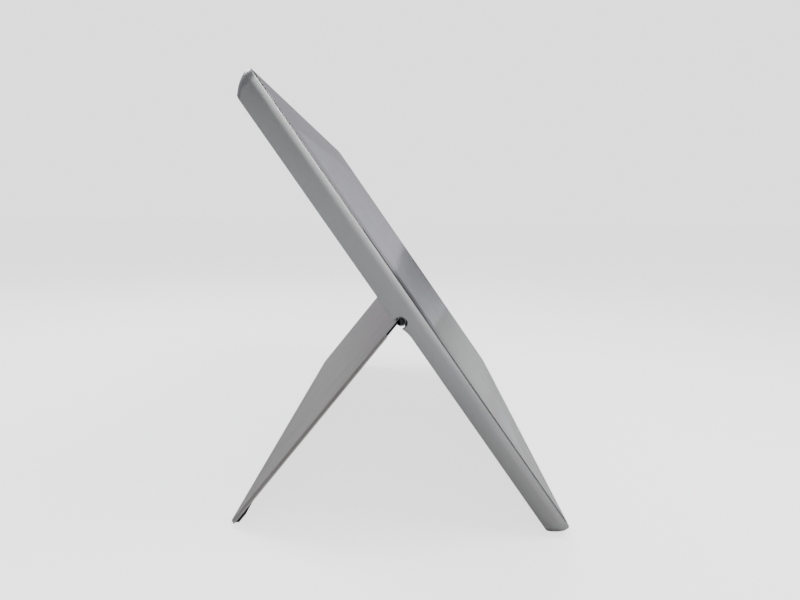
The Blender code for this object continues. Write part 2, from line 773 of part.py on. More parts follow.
def build_screws(panel, material):
    def pan_head(x, z, head_back, tip):
        return turned(
            x,
            z,
            [
                (head_back - SCREW_HEAD_THICK, 0.8 * SCREW_HEAD),
                (head_back - 0.5 * SCREW_HEAD_THICK, SCREW_HEAD),
                (head_back, SCREW_HEAD),
                (head_back, SCREW_RADIUS),
                (tip, SCREW_RADIUS),
            ],
            SCREW_STEPS,
        )

    tip = THICKNESS - 0.7 * BACK_WALL
    for index, (x, z) in enumerate(board_screw_places()):
        shape = pan_head(x, z, BOARD_FRONT - LAYER_GAP, tip)
        add_object(f"board_screw_{index + 1}", shape, panel, material)
    for index, (x, z) in enumerate(hinge_screw_places()):
        shape = pan_head(x, z, leaf_depths()[0] - LAYER_GAP, tip)
        add_object(f"hinge_screw_{index + 1}", shape, panel, material)
    for index, (x, z) in enumerate(case_screw_places()):
        shape = turned(
            x,
            z,
            [
                (TRAY_BACK + FIT_GAP, SCREW_RADIUS),
                (RECESS_Y - SINK_DEPTH, SCREW_RADIUS),
                (RECESS_Y - 0.2 * SINK_DEPTH, SCREW_HEAD),
                (RECESS_Y - 0.1 * SINK_DEPTH, 0.8 * SCREW_HEAD),
            ],
            SCREW_STEPS,
        )
        add_object(f"case_screw_{index + 1}", shape, panel, material)


def on_board(left, right, low, high, y):
    """A box placed by its distances in from the right edge and up from the hinge axis."""
    return box((HALF - left, HALF - right), y, (HINGE_HEIGHT + low, HINGE_HEIGHT + high))


def inlet_centre():
    return (CHAMBER_FRONT + CHAMBER_BACK) / 2, HINGE_HEIGHT + INLET_RISE


def build_board(panel, looks):
    left = BOARD_RIGHT + BOARD_WIDTH
    high = BOARD_RISE + BOARD_HEIGHT
    shape = on_board(left, BOARD_RIGHT, BOARD_RISE, high, (BOARD_FRONT, BOARD_BACK))
    board = add_object("main_board", shape, panel, looks["board"])
    cuts = bmesh.new()
    y, z = inlet_centre()
    notch = INLET_WIDTH / 2 + FIT_GAP
    inner = HALF - INLET_SINK - INLET_DEPTH - FIT_GAP
    front = BOARD_FRONT - OVERCUT
    back = BOARD_BACK + OVERCUT
    add_box(cuts, (inner, HALF), (front, back), (z - notch, z + notch))
    bore = SCREW_RADIUS + 2 * SCREW_GAP
    for x, z in board_screw_places():
        add_turned(cuts, x, z, [(front, bore), (back, bore)], SCREW_STEPS)
    combine(board, cuts, "main_board_cuts")

    depth = (PARTS_FRONT, PARTS_BACK - LAYER_GAP)
    add_object("shield_can", on_board(*SHIELD_SIDES, depth), panel, looks["steel"])
    add_object("wifi_module", on_board(*RADIO_SIDES, depth), panel, looks["steel"])


def build_inlet(panel, material):
    """The power inlet: a flattened steel sleeve with a contact tongue in it."""
    y, z = inlet_centre()
    mouth = HALF - INLET_SINK
    back = mouth - INLET_DEPTH

    def sleeve(shrink, x):
        outline = slot_outline(INLET_THICK - 2 * shrink, INLET_WIDTH - 2 * shrink)
        return bar([(y + py, z + pz) for py, pz in outline], x)

    inlet = add_object("power_inlet", sleeve(0.0, (back, mouth)), panel, material)
    hollow = sleeve(INLET_WALL, (back + INLET_BACK, mouth + OVERCUT))
    combine(inlet, hollow, "power_inlet_hollow")
    thick, wide = INLET_TONGUE
    ends = (back + 0.5 * INLET_BACK, mouth - 0.5 * INLET_BACK)
    tongue = box(ends, (y - thick, y + thick), (z - wide, z + wide))
    combine(inlet, tongue, "power_inlet_tongue", "UNION")


def build_card_socket(panel, material):
    """The memory-card socket, open at the panel's right side."""
    z = HINGE_HEIGHT + CARD_RISE
    mouth = HALF - CHAMBER_WALL - FIT_GAP
    back = mouth - CARD_SIZE
    shape = box((back, mouth), (PARTS_FRONT, PARTS_BACK), (z - CARD_SIZE / 2, z + CARD_SIZE / 2))
    socket = add_object("card_socket", shape, panel, material)
    y = (PARTS_FRONT + PARTS_BACK) / 2
    tall = CARD_MOUTH / 2
    thin = (y - CARD_HALF_SLOT, y + CARD_HALF_SLOT)
    slot = box((back + CARD_BACK, mouth + OVERCUT), thin, (z - tall, z + tall))
    combine(socket, slot, "card_socket_slot")


BUTTON_NAMES = ("power", "volume_up", "volume_down")


def button_places():
    for index in range(len(BUTTON_NAMES)):
        yield HALF - BUTTON_SIDE, HINGE_HEIGHT + BUTTON_RISE + BUTTON_PITCH * (2 - index)


def build_buttons(panel, looks):
    """Each cap slides through the back wall, held in by its flange, onto a switch on the board."""
    face = THICKNESS - BUTTON_SINK
    seat = CHAMBER_BACK - LAYER_GAP
    foot = seat - FLANGE_THICK
    for name, (x, z) in zip(BUTTON_NAMES, button_places()):
        profile = [
            (foot - face, BUTTON_FLANGE),
            (seat - face, BUTTON_FLANGE),
            (seat - face, BUTTON_RADIUS),
            (-BUTTON_CHAMFER, BUTTON_RADIUS),
            (0.0, BUTTON_RADIUS - BUTTON_CHAMFER),
        ]
        cap = turned(0.0, 0.0, profile)
        add_object(name + "_button", cap, panel, looks["button"], True, (x, face, z))

        top = foot - BUTTON_TRAVEL - SWITCH_GAP
        wide = (x - SWITCH_HALF, x + SWITCH_HALF)
        switch = box(wide, (PARTS_FRONT, top), (z - SWITCH_HALF, z + SWITCH_HALF))
        add_object(name + "_switch", switch, panel, looks["steel"])


def build_speakers(panel, looks):
    low = HINGE_HEIGHT + SPEAKER_RISE
    deep = (CHAMBER_FRONT + FIT_GAP, PARTS_BACK)
    for side, name in ((-1, "left"), (1, "right")):
        x = side * SPEAKER_X
        half = SPEAKER_WIDTH / 2
        shape = box((x - half, x + half), deep, (low, low + SPEAKER_HEIGHT))
        add_object("speaker_" + name, shape, panel, looks["plastic"])


def smooth_path(points, turns=6):
    """Rounds a chain of points into one smooth curve that passes through all of them."""
    ends = [points[0], *points, points[-1]]
    aims = [(after - before).normalized() for before, after in zip(ends, ends[2:])]
    path = []
    for start, end, leave, arrive in zip(points, points[1:], aims, aims[1:]):
        span = (end - start).length
        for step in range(turns):
            t = step / turns
            path.append(
                start * (2 * t**3 - 3 * t**2 + 1)
                + end * (3 * t**2 - 2 * t**3)
                + leave * span * (t**3 - 2 * t**2 + t)
                + arrive * span * (t**3 - t**2)
            )
    path.append(points[-1])
    return path


def add_lead(name, points, panel, material):
    """A thin insulated lead along the points, as a round tube with closed ends."""
    curve = bpy.data.curves.new(name, "CURVE")
    curve.dimensions = "3D"
    curve.bevel_depth = LEAD_RADIUS
    curve.bevel_resolution = 1
    curve.use_fill_caps = True
    path = smooth_path([Vector(point) for point in points])
    spline = curve.splines.new("POLY")
    spline.points.add(len(path) - 1)
    for knot, point in zip(spline.points, path):
        knot.co = (*point, 1.0)
    curve.materials.append(material)
    lead = bpy.data.objects.new(name, curve)
    lead.parent = panel
    bpy.context.scene.collection.objects.link(lead)


def build_leads(panel, looks):
    """The speaker leads run to one plug on the board, the aerial lead to the radio module."""
    plug = on_board(*PLUG_SIDES, (PARTS_FRONT, PARTS_BACK - LAYER_GAP))
    add_object("speaker_plug", plug, panel, looks["plastic"])
    y = (PARTS_FRONT + PARTS_BACK) / 2
    plug_x = HALF - PLUG_SIDES[0] - FIT_GAP
    top = HINGE_HEIGHT + SPEAKER_RISE + SPEAKER_HEIGHT
    z = HINGE_HEIGHT + 0.0300
    points = [(SPEAKER_X, y, top + FIT_GAP), (SPEAKER_X, y, top + 0.0020)]
    points += [(plug_x - 0.007, y, z), (plug_x - 0.0015, y, z), (plug_x, y, z)]
    add_lead("speaker_lead_right", points, panel, looks["lead"])

    z = HINGE_HEIGHT + 0.0324
    points = [(-SPEAKER_X, y, top + FIT_GAP), (-SPEAKER_X, y, top + 0.0020)]
    points += [(-0.008, y, top + 0.0075), (plug_x - 0.006, y, z + 0.0006)]
    points += [(plug_x - 0.0015, y, z), (plug_x, y, z)]
    add_lead("speaker_lead_left", points, panel, looks["lead"])

    z = HEIGHT - AERIAL_TOP
    depth = (PARTS_BACK - AERIAL_THICK, PARTS_BACK)
    aerial = box(AERIAL_ENDS, depth, (z - AERIAL_HALF, z + AERIAL_HALF))
    add_object("wifi_aerial", aerial, panel, looks["ribbon"])
    radio_z = HINGE_HEIGHT + (RADIO_SIDES[2] + RADIO_SIDES[3]) / 2
    start = HALF - RADIO_SIDES[0] - FIT_GAP
    end = AERIAL_ENDS[1] + FIT_GAP
    points = [(start, y, radio_z), (start - 0.0020, y, radio_z)]
    points += [(start - 0.030, y, (radio_z + z) / 2), (end + 0.015, y, z)]
    points += [(end + 0.0025, y, z), (end, y, z)]
    add_lead("aerial_lead", points, panel, looks["lead"])


def build_ribbon(panel, looks):
    """The display's flat lead, from the tray's back round the board's lower edge to its plug."""
    board_low = HINGE_HEIGHT + BOARD_RISE
    turn_z = board_low - FIT_GAP
    front = CHAMBER_FRONT + LAYER_GAP + RIBBON_THICK / 2
    back = PARTS_FRONT + RIBBON_LIFT
    radius = (back - front) / 2
    centre_y = (back + front) / 2
    line = [(front, board_low + RIBBON_RUN), (front, turn_z)]
    for step in range(1, GROOVE_STEPS + 1):
        angle = math.pi + math.pi * step / GROOVE_STEPS
        line.append((centre_y + radius * math.cos(angle), turn_z + radius * math.sin(angle)))
    plug_low = board_low + RIBBON_PLUG_RISE
    line.append((back, plug_low - FIT_GAP))
    half = RIBBON_THICK / 2
    outer = []
    inner = []
    for index, (y, z) in enumerate(line):
        before = line[max(0, index - 1)]
        after = line[min(len(line) - 1, index + 1)]
        along = Vector((after[0] - before[0], after[1] - before[1])).normalized()
        outer.append((y - along.y * half, z + along.x * half))
        inner.append((y + along.y * half, z - along.x * half))
    x = (HALF - RIBBON_LEFT, HALF - RIBBON_LEFT + RIBBON_WIDTH)
    add_object("display_ribbon", bar(outer + inner[::-1], x), panel, looks["ribbon"])
    wide = (x[0] - RIBBON_MARGIN, x[1] + RIBBON_MARGIN)
    depth = (PARTS_FRONT, PARTS_FRONT + RIBBON_PLUG_THICK)
    plug = box(wide, depth, (plug_low, plug_low + RIBBON_PLUG))
    add_object("ribbon_plug", plug, panel, looks["plastic"])


def centre_on_base(root):
    """Moves the whole model so that its outer box stands centred on the world origin."""
    bpy.context.view_layer.update()
    graph = bpy.context.evaluated_depsgraph_get()
    low = Vector((math.inf, math.inf, math.inf))
    high = -low
    for thing in bpy.data.objects:
        if thing.type == "EMPTY" or thing.hide_render:
            continue
        evaluated = thing.evaluated_get(graph)
        mesh = evaluated.to_mesh()
        for vertex in mesh.vertices:
            point = evaluated.matrix_world @ vertex.co
            low = Vector(map(min, low, point))
            high = Vector(map(max, high, point))
        evaluated.to_mesh_clear()
    root.location.x -= (low.x + high.x) / 2
    root.location.y -= (low.y + high.y) / 2


def make_looks():
    return {
        "casing": make_material("satin_silver", (0.36, 0.37, 0.38), 0.38, 0.85),
        "stand": make_material("stand_silver", (0.38, 0.37, 0.36), 0.33, 0.90),
        "glass": make_material("front_glass", (0.02, 0.02, 0.025), 0.06, 0.0),
        "tape": make_material("black_foam_tape", (0.02, 0.02, 0.02), 0.9, 0.0),
        "lcd": make_material("display_cell", (0.05, 0.06, 0.07), 0.2, 0.0),
        "guide": make_material("clear_acrylic", (0.8, 0.82, 0.84), 0.15, 0.0),
        "plastic": make_material("black_plastic", (0.03, 0.03, 0.032), 0.55, 0.0),
        "steel": make_material("bright_steel", (0.55, 0.55, 0.56), 0.35, 1.0),
        "rubber": make_material("grey_rubber", (0.05, 0.05, 0.052), 0.85, 0.0),
        "board": make_material("green_board", (0.02, 0.12, 0.05), 0.45, 0.0),
        "ribbon": make_material("amber_film", (0.45, 0.24, 0.05), 0.4, 0.0),
        "lead": make_material("lead_sleeve", (0.25, 0.02, 0.02), 0.5, 0.0),
        "button": make_material("button_grey", (0.20, 0.205, 0.21), 0.45, 0.0),
    }


def build_frame():
    clear_scene()
    looks = make_looks()
    panel = add_empty("panel_lean", None, (0.0, 0.0, -GROUND), -LEAN)
    pivot = add_empty("stand_pivot", panel, (0.0, AXIS_Y, HINGE_HEIGHT), STAND_OPEN)
    build_glass(panel, looks["glass"])
    build_gasket(panel, looks["tape"])
    build_display(panel, looks)
    build_display_frame(panel, looks["plastic"])
    build_rear_cover(panel, looks["casing"])
    add_object("base_foot", foot_bar(0.0), panel, looks["rubber"])
    build_stand_plate(pivot, looks["stand"])
    build_stand_pad(pivot, looks["rubber"])
    for side, name in ((-1, "left"), (1, "right")):
        build_hinge(panel, pivot, side, name, looks)
    build_board(panel, looks)
    build_inlet(panel, looks["steel"])
    build_card_socket(panel, looks["steel"])
    build_buttons(panel, looks)
    build_speakers(panel, looks)
    build_leads(panel, looks)
    build_ribbon(panel, looks)
    build_screws(panel, looks["steel"])
    centre_on_base(panel)


build_frame()
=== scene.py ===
"""Looks of the ten-inch digital photo frame that stands open on its fold-out stand."""

import json
import math

import bpy
from mathutils import Euler, Matrix, Vector

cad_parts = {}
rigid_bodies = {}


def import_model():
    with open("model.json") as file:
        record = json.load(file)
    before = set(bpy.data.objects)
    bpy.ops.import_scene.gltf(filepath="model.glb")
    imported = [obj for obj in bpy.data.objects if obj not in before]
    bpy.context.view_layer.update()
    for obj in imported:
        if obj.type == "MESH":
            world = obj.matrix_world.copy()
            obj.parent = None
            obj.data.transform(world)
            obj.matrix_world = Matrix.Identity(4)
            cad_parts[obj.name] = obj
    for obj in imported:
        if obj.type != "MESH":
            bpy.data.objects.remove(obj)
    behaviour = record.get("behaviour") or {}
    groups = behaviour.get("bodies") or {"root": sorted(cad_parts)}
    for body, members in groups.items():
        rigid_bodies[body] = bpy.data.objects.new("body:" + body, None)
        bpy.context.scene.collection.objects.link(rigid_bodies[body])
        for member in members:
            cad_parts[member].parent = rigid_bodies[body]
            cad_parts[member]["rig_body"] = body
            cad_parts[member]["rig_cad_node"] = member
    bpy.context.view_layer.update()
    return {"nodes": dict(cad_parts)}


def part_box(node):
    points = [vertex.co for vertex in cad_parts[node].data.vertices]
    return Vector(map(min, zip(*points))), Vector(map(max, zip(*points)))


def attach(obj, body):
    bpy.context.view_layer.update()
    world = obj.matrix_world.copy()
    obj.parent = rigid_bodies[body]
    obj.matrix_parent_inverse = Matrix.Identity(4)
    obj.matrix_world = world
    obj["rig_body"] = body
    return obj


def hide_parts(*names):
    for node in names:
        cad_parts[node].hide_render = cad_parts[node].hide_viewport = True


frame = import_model()
nodes = frame["nodes"]


# ---------------------------------------------------------------- camera
# A wide lens close to the frame's left side, a little above the table. It looks along the panel's
# width, so the side wall, the stand's face and a thin strip of glass show.
camera_place = Vector((-0.3244, -0.0019, 0.1007))
camera_dip = math.radians(7.12)
camera_heading = math.radians(-90 + 0.71)
camera_roll = math.radians(0.70)
camera = bpy.data.objects.new("camera", bpy.data.cameras.new("camera"))
bpy.context.scene.collection.objects.link(camera)
camera.data.sensor_width = 36.0
camera.data.lens = 29.64
camera.data.clip_start = 0.01
camera.data.clip_end = 50.0
looking = Euler((math.pi / 2 - camera_dip, 0.0, camera_heading)).to_matrix()
rolled = looking @ Matrix.Rotation(camera_roll, 3, "Z")
camera.matrix_world = Matrix.Translation(camera_place) @ rolled.to_4x4()
bpy.context.scene.camera = camera


# ---------------------------------------------------------------- rear cover
# One piece of aluminium, milled to shape, bead blasted and anodised silver. Its sharp edges are
# eased after milling, and the eased edges get a lighter, smoother silver: partly edge wear, partly
# painted highlight.
WELD = 0.000001
EASED = 0.00009
FLAT_WITHIN = math.radians(0.3)
SMOOTH_UNDER = math.radians(38)

corners = [vertex.co.copy() for vertex in nodes["lcd_panel"].data.vertices]
foot_corner = min(corners, key=lambda point: point.y)
head_corner = max(corners, key=lambda point: point.z)
panel_tilt = math.atan2(head_corner.y - foot_corner.y, head_corner.z - foot_corner.z)
panel_up = Vector((0.0, math.sin(panel_tilt), math.cos(panel_tilt)))
panel_back = Vector((0.0, math.cos(panel_tilt), -math.sin(panel_tilt)))


def span_along(node, direction):
    """How far a CAD node reaches along a direction, from its nearest point to its farthest."""
    reaches = [vertex.co.dot(direction) for vertex in nodes[node].data.vertices]
    return min(reaches), max(reaches)


def only(piece):
    """Selects this piece alone and makes it active."""
    bpy.ops.object.select_all(action="DESELECT")
    piece.select_set(True)
    bpy.context.view_layer.objects.active = piece


def weld_copy(node, name):
    """A copy of a CAD node with its loose triangles welded into whole faces, in the node's stead."""
    only(nodes[node])
    bpy.ops.object.duplicate()
    piece = bpy.context.object
    piece.name = name
    piece.data.name = name
    del piece["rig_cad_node"]
    bpy.ops.mesh.customdata_custom_splitnormals_clear()
    bpy.ops.object.mode_set(mode="EDIT")
    bpy.ops.mesh.select_all(action="SELECT")
    bpy.ops.mesh.remove_doubles(threshold=WELD)
    bpy.ops.mesh.dissolve_limited(angle_limit=FLAT_WITHIN)
    bpy.ops.object.mode_set(mode="OBJECT")
    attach(piece, nodes[node]["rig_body"])
    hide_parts(node)
    return piece


def ease_edges(piece, width, segments=2, steeper_than=42.0):
    """Rounds every edge sharper than the angle, and shades the rest so that flat faces stay flat."""
    only(piece)
    bevel = piece.modifiers.new("eased", "BEVEL")
    bevel.width = width
    bevel.segments = segments
    bevel.limit_method = "ANGLE"
    bevel.angle_limit = math.radians(steeper_than)
    bevel.use_clamp_overlap = False
    # Bevel faces take the last material: on the cover and the stand, the lighter edge silver that is
    # partly painted highlight.
    bevel.material = len(piece.data.materials) - 1
    bpy.ops.object.modifier_apply(modifier=bevel.name)
    bpy.ops.object.shade_smooth_by_angle(angle=SMOOTH_UNDER)
    level = piece.modifiers.new("level", "WEIGHTED_NORMAL")
    level.weight = 100
    level.keep_sharp = True
    bpy.ops.object.modifier_apply(modifier=level.name)


def add_node(tree, kind, **settings):
    made = tree.nodes.new(kind)
    for setting, value in settings.items():
        setattr(made, setting, value)
    return made


def new_group(name, inputs, outputs):
    """An empty node group with its sockets, and its input and output nodes."""
    group = bpy.data.node_groups.new(name, "ShaderNodeTree")
    for label, kind in inputs:
        group.interface.new_socket(label, in_out="INPUT", socket_type=kind)
    for label, kind in outputs:
        group.interface.new_socket(label, in_out="OUTPUT", socket_type=kind)
    return group, group.nodes.new("NodeGroupInput"), group.nodes.new("NodeGroupOutput")


def make_finish_group():
    """Cloudy colour and gloss over a surface, and the height of a fine grain that can be stretched."""
    group, given, made = new_group(
        "surface_finish",
        [
            ("Vector", "NodeSocketVector"),
            ("Dark", "NodeSocketColor"),
            ("Light", "NodeSocketColor"),
            ("Cloud Scale", "NodeSocketFloat"),
            ("Smooth", "NodeSocketFloat"),
            ("Rough", "NodeSocketFloat"),
            ("Grain Scale", "NodeSocketFloat"),
            ("Grain Stretch", "NodeSocketVector"),
        ],
        [
            ("Color", "NodeSocketColor"),
            ("Roughness", "NodeSocketFloat"),
            ("Height", "NodeSocketFloat"),
        ],
    )
    link = group.links.new
    stretch = add_node(group, "ShaderNodeVectorMath", operation="MULTIPLY")
    link(given.outputs["Vector"], stretch.inputs[0])
    link(given.outputs["Grain Stretch"], stretch.inputs[1])
    cloud = add_node(group, "ShaderNodeTexNoise")
    cloud.inputs["Detail"].default_value = 4.0
    link(given.outputs["Vector"], cloud.inputs["Vector"])
    link(given.outputs["Cloud Scale"], cloud.inputs["Scale"])
    streak = add_node(group, "ShaderNodeTexNoise")
    streak.inputs["Detail"].default_value = 3.0
    link(stretch.outputs["Vector"], streak.inputs["Vector"])
    link(given.outputs["Cloud Scale"], streak.inputs["Scale"])
    tone = add_node(group, "ShaderNodeMapRange", interpolation_type="SMOOTHSTEP")
    tone.inputs["From Min"].default_value = 0.32
    tone.inputs["From Max"].default_value = 0.68
    link(streak.outputs["Fac"], tone.inputs["Value"])
    blend = add_node(group, "ShaderNodeMix", data_type="RGBA")
    link(tone.outputs["Result"], blend.inputs["Factor"])
    link(given.outputs["Dark"], blend.inputs["A"])
    link(given.outputs["Light"], blend.inputs["B"])
    link(blend.outputs["Result"], made.inputs["Color"])
    gloss = add_node(group, "ShaderNodeMapRange", interpolation_type="SMOOTHSTEP")
    gloss.inputs["From Min"].default_value = 0.30
    gloss.inputs["From Max"].default_value = 0.70
    link(cloud.outputs["Fac"], gloss.inputs["Value"])
    link(given.outputs["Smooth"], gloss.inputs["To Min"])
    link(given.outputs["Rough"], gloss.inputs["To Max"])
    link(gloss.outputs["Result"], made.inputs["Roughness"])
    grain = add_node(group, "ShaderNodeTexNoise")
    grain.inputs["Detail"].default_value = 2.0
    link(stretch.outputs["Vector"], grain.inputs["Vector"])
    link(given.outputs["Grain Scale"], grain.inputs["Scale"])
    link(grain.outputs["Fac"], made.inputs["Height"])
    return group


finish_group = make_finish_group()


def finish_material(
    name, dark, light, gloss, clouds, grain, relief, metallic=0.0, stretch=(1.0, 1.0, 1.0)
):
    """A material with the cloudy tone, gloss range and grain of the finish group, in metres."""
    material = bpy.data.materials.new(name)
    material.use_nodes = True
    tree = material.node_tree
    shader = tree.nodes["Principled BSDF"]
    shader.inputs["Metallic"].default_value = metallic
    coordinates = add_node(tree, "ShaderNodeTexCoord")
    finish = add_node(tree, "ShaderNodeGroup", node_tree=finish_group)
    finish.inputs["Dark"].default_value = (*dark, 1.0)
    finish.inputs["Light"].default_value = (*light, 1.0)
    finish.inputs["Cloud Scale"].default_value = clouds
    finish.inputs["Smooth"].default_value = gloss[0]
    finish.inputs["Rough"].default_value = gloss[1]
    finish.inputs["Grain Scale"].default_value = grain
    finish.inputs["Grain Stretch"].default_value = stretch
    tree.links.new(coordinates.outputs["Object"], finish.inputs["Vector"])
    tree.links.new(finish.outputs["Color"], shader.inputs["Base Color"])
    tree.links.new(finish.outputs["Roughness"], shader.inputs["Roughness"])
    bump = add_node(tree, "ShaderNodeBump")
    bump.inputs["Strength"].default_value = 0.6
    bump.inputs["Distance"].default_value = relief
    tree.links.new(finish.outputs["Height"], bump.inputs["Height"])
    tree.links.new(bump.outputs["Normal"], shader.inputs["Normal"])
    return material


def dress(piece, slot, *materials):
    """Gives a piece its materials in order. The slot argument is not used."""
    piece.data.materials.clear()
    for material in materials:
        piece.data.materials.append(material)


blasted_silver = finish_material(
    "blasted_silver",
    dark=(0.485, 0.490, 0.495),
    light=(0.535, 0.540, 0.545),
    gloss=(0.38, 0.47),
    clouds=28.0,
    grain=3200.0,
    relief=0.000005,
    metallic=0.92,
)
# A lighter, smoother silver for the eased edges: partly edge wear, partly painted highlight.
eased_silver_wear_and_highlight = finish_material(
    "eased_silver_wear_and_highlight",
    dark=(0.52, 0.53, 0.54),
    light=(0.58, 0.59, 0.60),
    gloss=(0.34, 0.42),
    clouds=60.0,
    grain=3600.0,
    relief=0.000003,
    metallic=0.95,
)
back_cover = weld_copy("rear_cover", "back_cover")
dress(back_cover, "satin_silver", blasted_silver, eased_silver_wear_and_highlight)
ease_edges(back_cover, EASED)


# ---------------------------------------------------------------- base foot
# A strip of dark grey silicone rubber, pressed into a bed along the cover's bottom edge. The frame
# rests on it.
silicone = finish_material(
    "dark_silicone",
    dark=(0.030, 0.030, 0.032),
    light=(0.050, 0.050, 0.052),
    gloss=(0.62, 0.85),
    clouds=90.0,
    grain=2400.0,
    relief=0.00002,
)
base_strip = weld_copy("base_foot", "base_strip")
dress(base_strip, "grey_rubber", silicone)
ease_edges(base_strip, 0.00020, segments=3, steeper_than=25.0)


# ---------------------------------------------------------------- hinges
# Two stamped steel brackets with a round eye each, held to the cover by two small screws, and the
# steel pins that the stand turns on. All are nickel plated.
nickel_steel = finish_material(
    "nickel_steel",
    dark=(0.42, 0.42, 0.41),
    light=(0.56, 0.55, 0.53),
    gloss=(0.20, 0.38),
    clouds=160.0,
    grain=1800.0,
    relief=0.000010,
    metallic=1.0,
)
for side in ("left", "right"):
    bracket = weld_copy("hinge_bracket_" + side, "hinge_eye_" + side)
    dress(bracket, "bright_steel", nickel_steel)
    ease_edges(bracket, 0.00010)
    dress(nodes["hinge_pin_" + side], "bright_steel", nickel_steel)


# ---------------------------------------------------------------- stand
# A plate of aluminium as wide as the panel, rolled round along its top edge where it takes the
# pins, brushed from hinge to foot, and anodised silver. Its slight warm tint is painted reflection.
# Its eased edges are a lighter, cooler silver: partly edge wear, partly painted highlight. Black
# plugs close the roll's ends, and their black is partly painted shade. In its two top corners, the
# faces round the roll's ends are painted near black as painted shade. A rubber strip runs inside
# its lower edge.
# Where the near-black painted shade lies round each hollow roll end.
PAINTED_SHADE_BACK = 0.00126
PAINTED_SHADE_SIDE = 0.0023
PAINTED_SHADE_DEPTH = 0.0067
PLUG_RADIUS = 0.00114
PLUG_LENGTH = 0.0020
PLUG_SUNK = 0.00015
PLUG_RIM = 0.35 * PLUG_RADIUS
PLUG_DISH = 0.15 * PLUG_RADIUS

# Brushed silver for the stand. Its warm brownish tint is painted reflection of a warm room.
brushed_silver_warm_reflection = finish_material(
    "brushed_silver_warm_reflection",
    dark=(0.460, 0.435, 0.415),
    light=(0.510, 0.484, 0.462),
    gloss=(0.32, 0.40),
    clouds=140.0,
    grain=2600.0,
    relief=0.000003,
    metallic=0.95,
    stretch=(1.0, 0.04, 0.04),
)
# A lighter, cooler silver for the stand's eased edges: partly edge wear, partly painted highlight.
brushed_edge_wear_and_highlight = finish_material(
    "brushed_edge_wear_and_highlight",
    dark=(0.56, 0.57, 0.58),
    light=(0.64, 0.65, 0.66),
    gloss=(0.28, 0.36),
    clouds=70.0,
    grain=2600.0,
    relief=0.000003,
    metallic=0.96,
)
# Near black for the faces round the hollow roll ends: painted shade where shadow falls, with a
# felt-like roughness.
painted_shade_black = finish_material(
    "painted_shade_black",
    dark=(0.006, 0.006, 0.006),
    light=(0.013, 0.013, 0.013),
    gloss=(0.90, 1.00),
    clouds=400.0,
    grain=4000.0,
    relief=0.00005,
)
black_moulding = finish_material(
    "black_moulding",
    dark=(0.018, 0.018, 0.019),
    light=(0.030, 0.030, 0.032),
    gloss=(0.45, 0.60),
    clouds=70.0,
    grain=2600.0,
    relief=0.000025,
)
stand_panel = weld_copy("stand_plate", "stand_panel")
dress(stand_panel, "stand_silver", brushed_silver_warm_reflection, painted_shade_black, brushed_edge_wear_and_highlight)
pin_low, pin_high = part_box("hinge_pin_left")
hinge_line = Vector((0.0, (pin_low.y + pin_high.y) / 2, (pin_low.z + pin_high.z) / 2))
stand_out = max(nodes["stand_plate"].data.polygons, key=lambda face: face.area).normal.copy()
stand_out *= math.copysign(1.0, stand_out.z)
stand_down = Vector((0.0, stand_out.z, -stand_out.y))
stand_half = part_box("stand_plate")[1].x
# Faces in the two top corners, round the hollow roll ends, get the near-black painted shade.
for face in stand_panel.data.polygons:
    offset = face.center - hinge_line
    at_side = abs(offset.x) > stand_half - PAINTED_SHADE_SIDE
    under = offset.dot(stand_out) < PAINTED_SHADE_BACK
    if at_side and under and -PLUG_RADIUS < offset.dot(stand_down) < PAINTED_SHADE_DEPTH:
        face.material_index = 1
ease_edges(stand_panel, 0.00018, segments=3)
stand_strip = weld_copy("stand_foot", "stand_strip")
dress(stand_strip, "grey_rubber", silicone)
ease_edges(stand_strip, 0.00015, segments=3, steeper_than=25.0)

# The plugs' black is partly the plastic's own colour and partly painted shade: it stands in for the
# shadow inside the hollow roll ends.
bpy.ops.object.select_all(action="DESELECT")
bpy.ops.mesh.primitive_cylinder_add(vertices=32, radius=PLUG_RADIUS, depth=PLUG_LENGTH)
left_plug = bpy.context.object
left_plug.name = "roll_plug_left"
for face in left_plug.data.polygons:
    face.select = face.normal.z > 0.5
bpy.ops.object.mode_set(mode="EDIT")
bpy.ops.mesh.select_mode(type="FACE")
bpy.ops.mesh.inset(thickness=PLUG_RIM)
bpy.ops.transform.translate(value=(0.0, 0.0, -PLUG_DISH))
bpy.ops.object.mode_set(mode="OBJECT")
only(left_plug)
bpy.ops.object.duplicate()
right_plug = bpy.context.object
right_plug.name = "roll_plug_right"
for plug, side in ((left_plug, -1), (right_plug, 1)):
    end = side * (stand_half - PAINTED_SHADE_SIDE - PLUG_SUNK - PLUG_LENGTH / 2)
    plug.location = hinge_line + Vector((end, 0.0, 0.0))
    plug.rotation_euler.y = side * math.pi / 2
    only(plug)
    bpy.ops.object.transform_apply(location=True, rotation=True, scale=True)
    dress(plug, "black_plastic", black_moulding)
    ease_edges(plug, 0.00006, segments=1)
    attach(plug, "stand")


# ---------------------------------------------------------------- speakers and air slots
# Two closed plastic speaker boxes behind the grille slots. A strip of black woven mesh is glued
# inside each grille and inside the row of air slots, to keep dust out.
MESH_THICK = 0.00006
MESH_GAP = 0.00010
MESH_CORNER = 0.0008
AIR_SLOTS_SIZE = (0.078, 0.011)
AIR_SLOTS_DROP = 0.020
THREAD = 0.00045


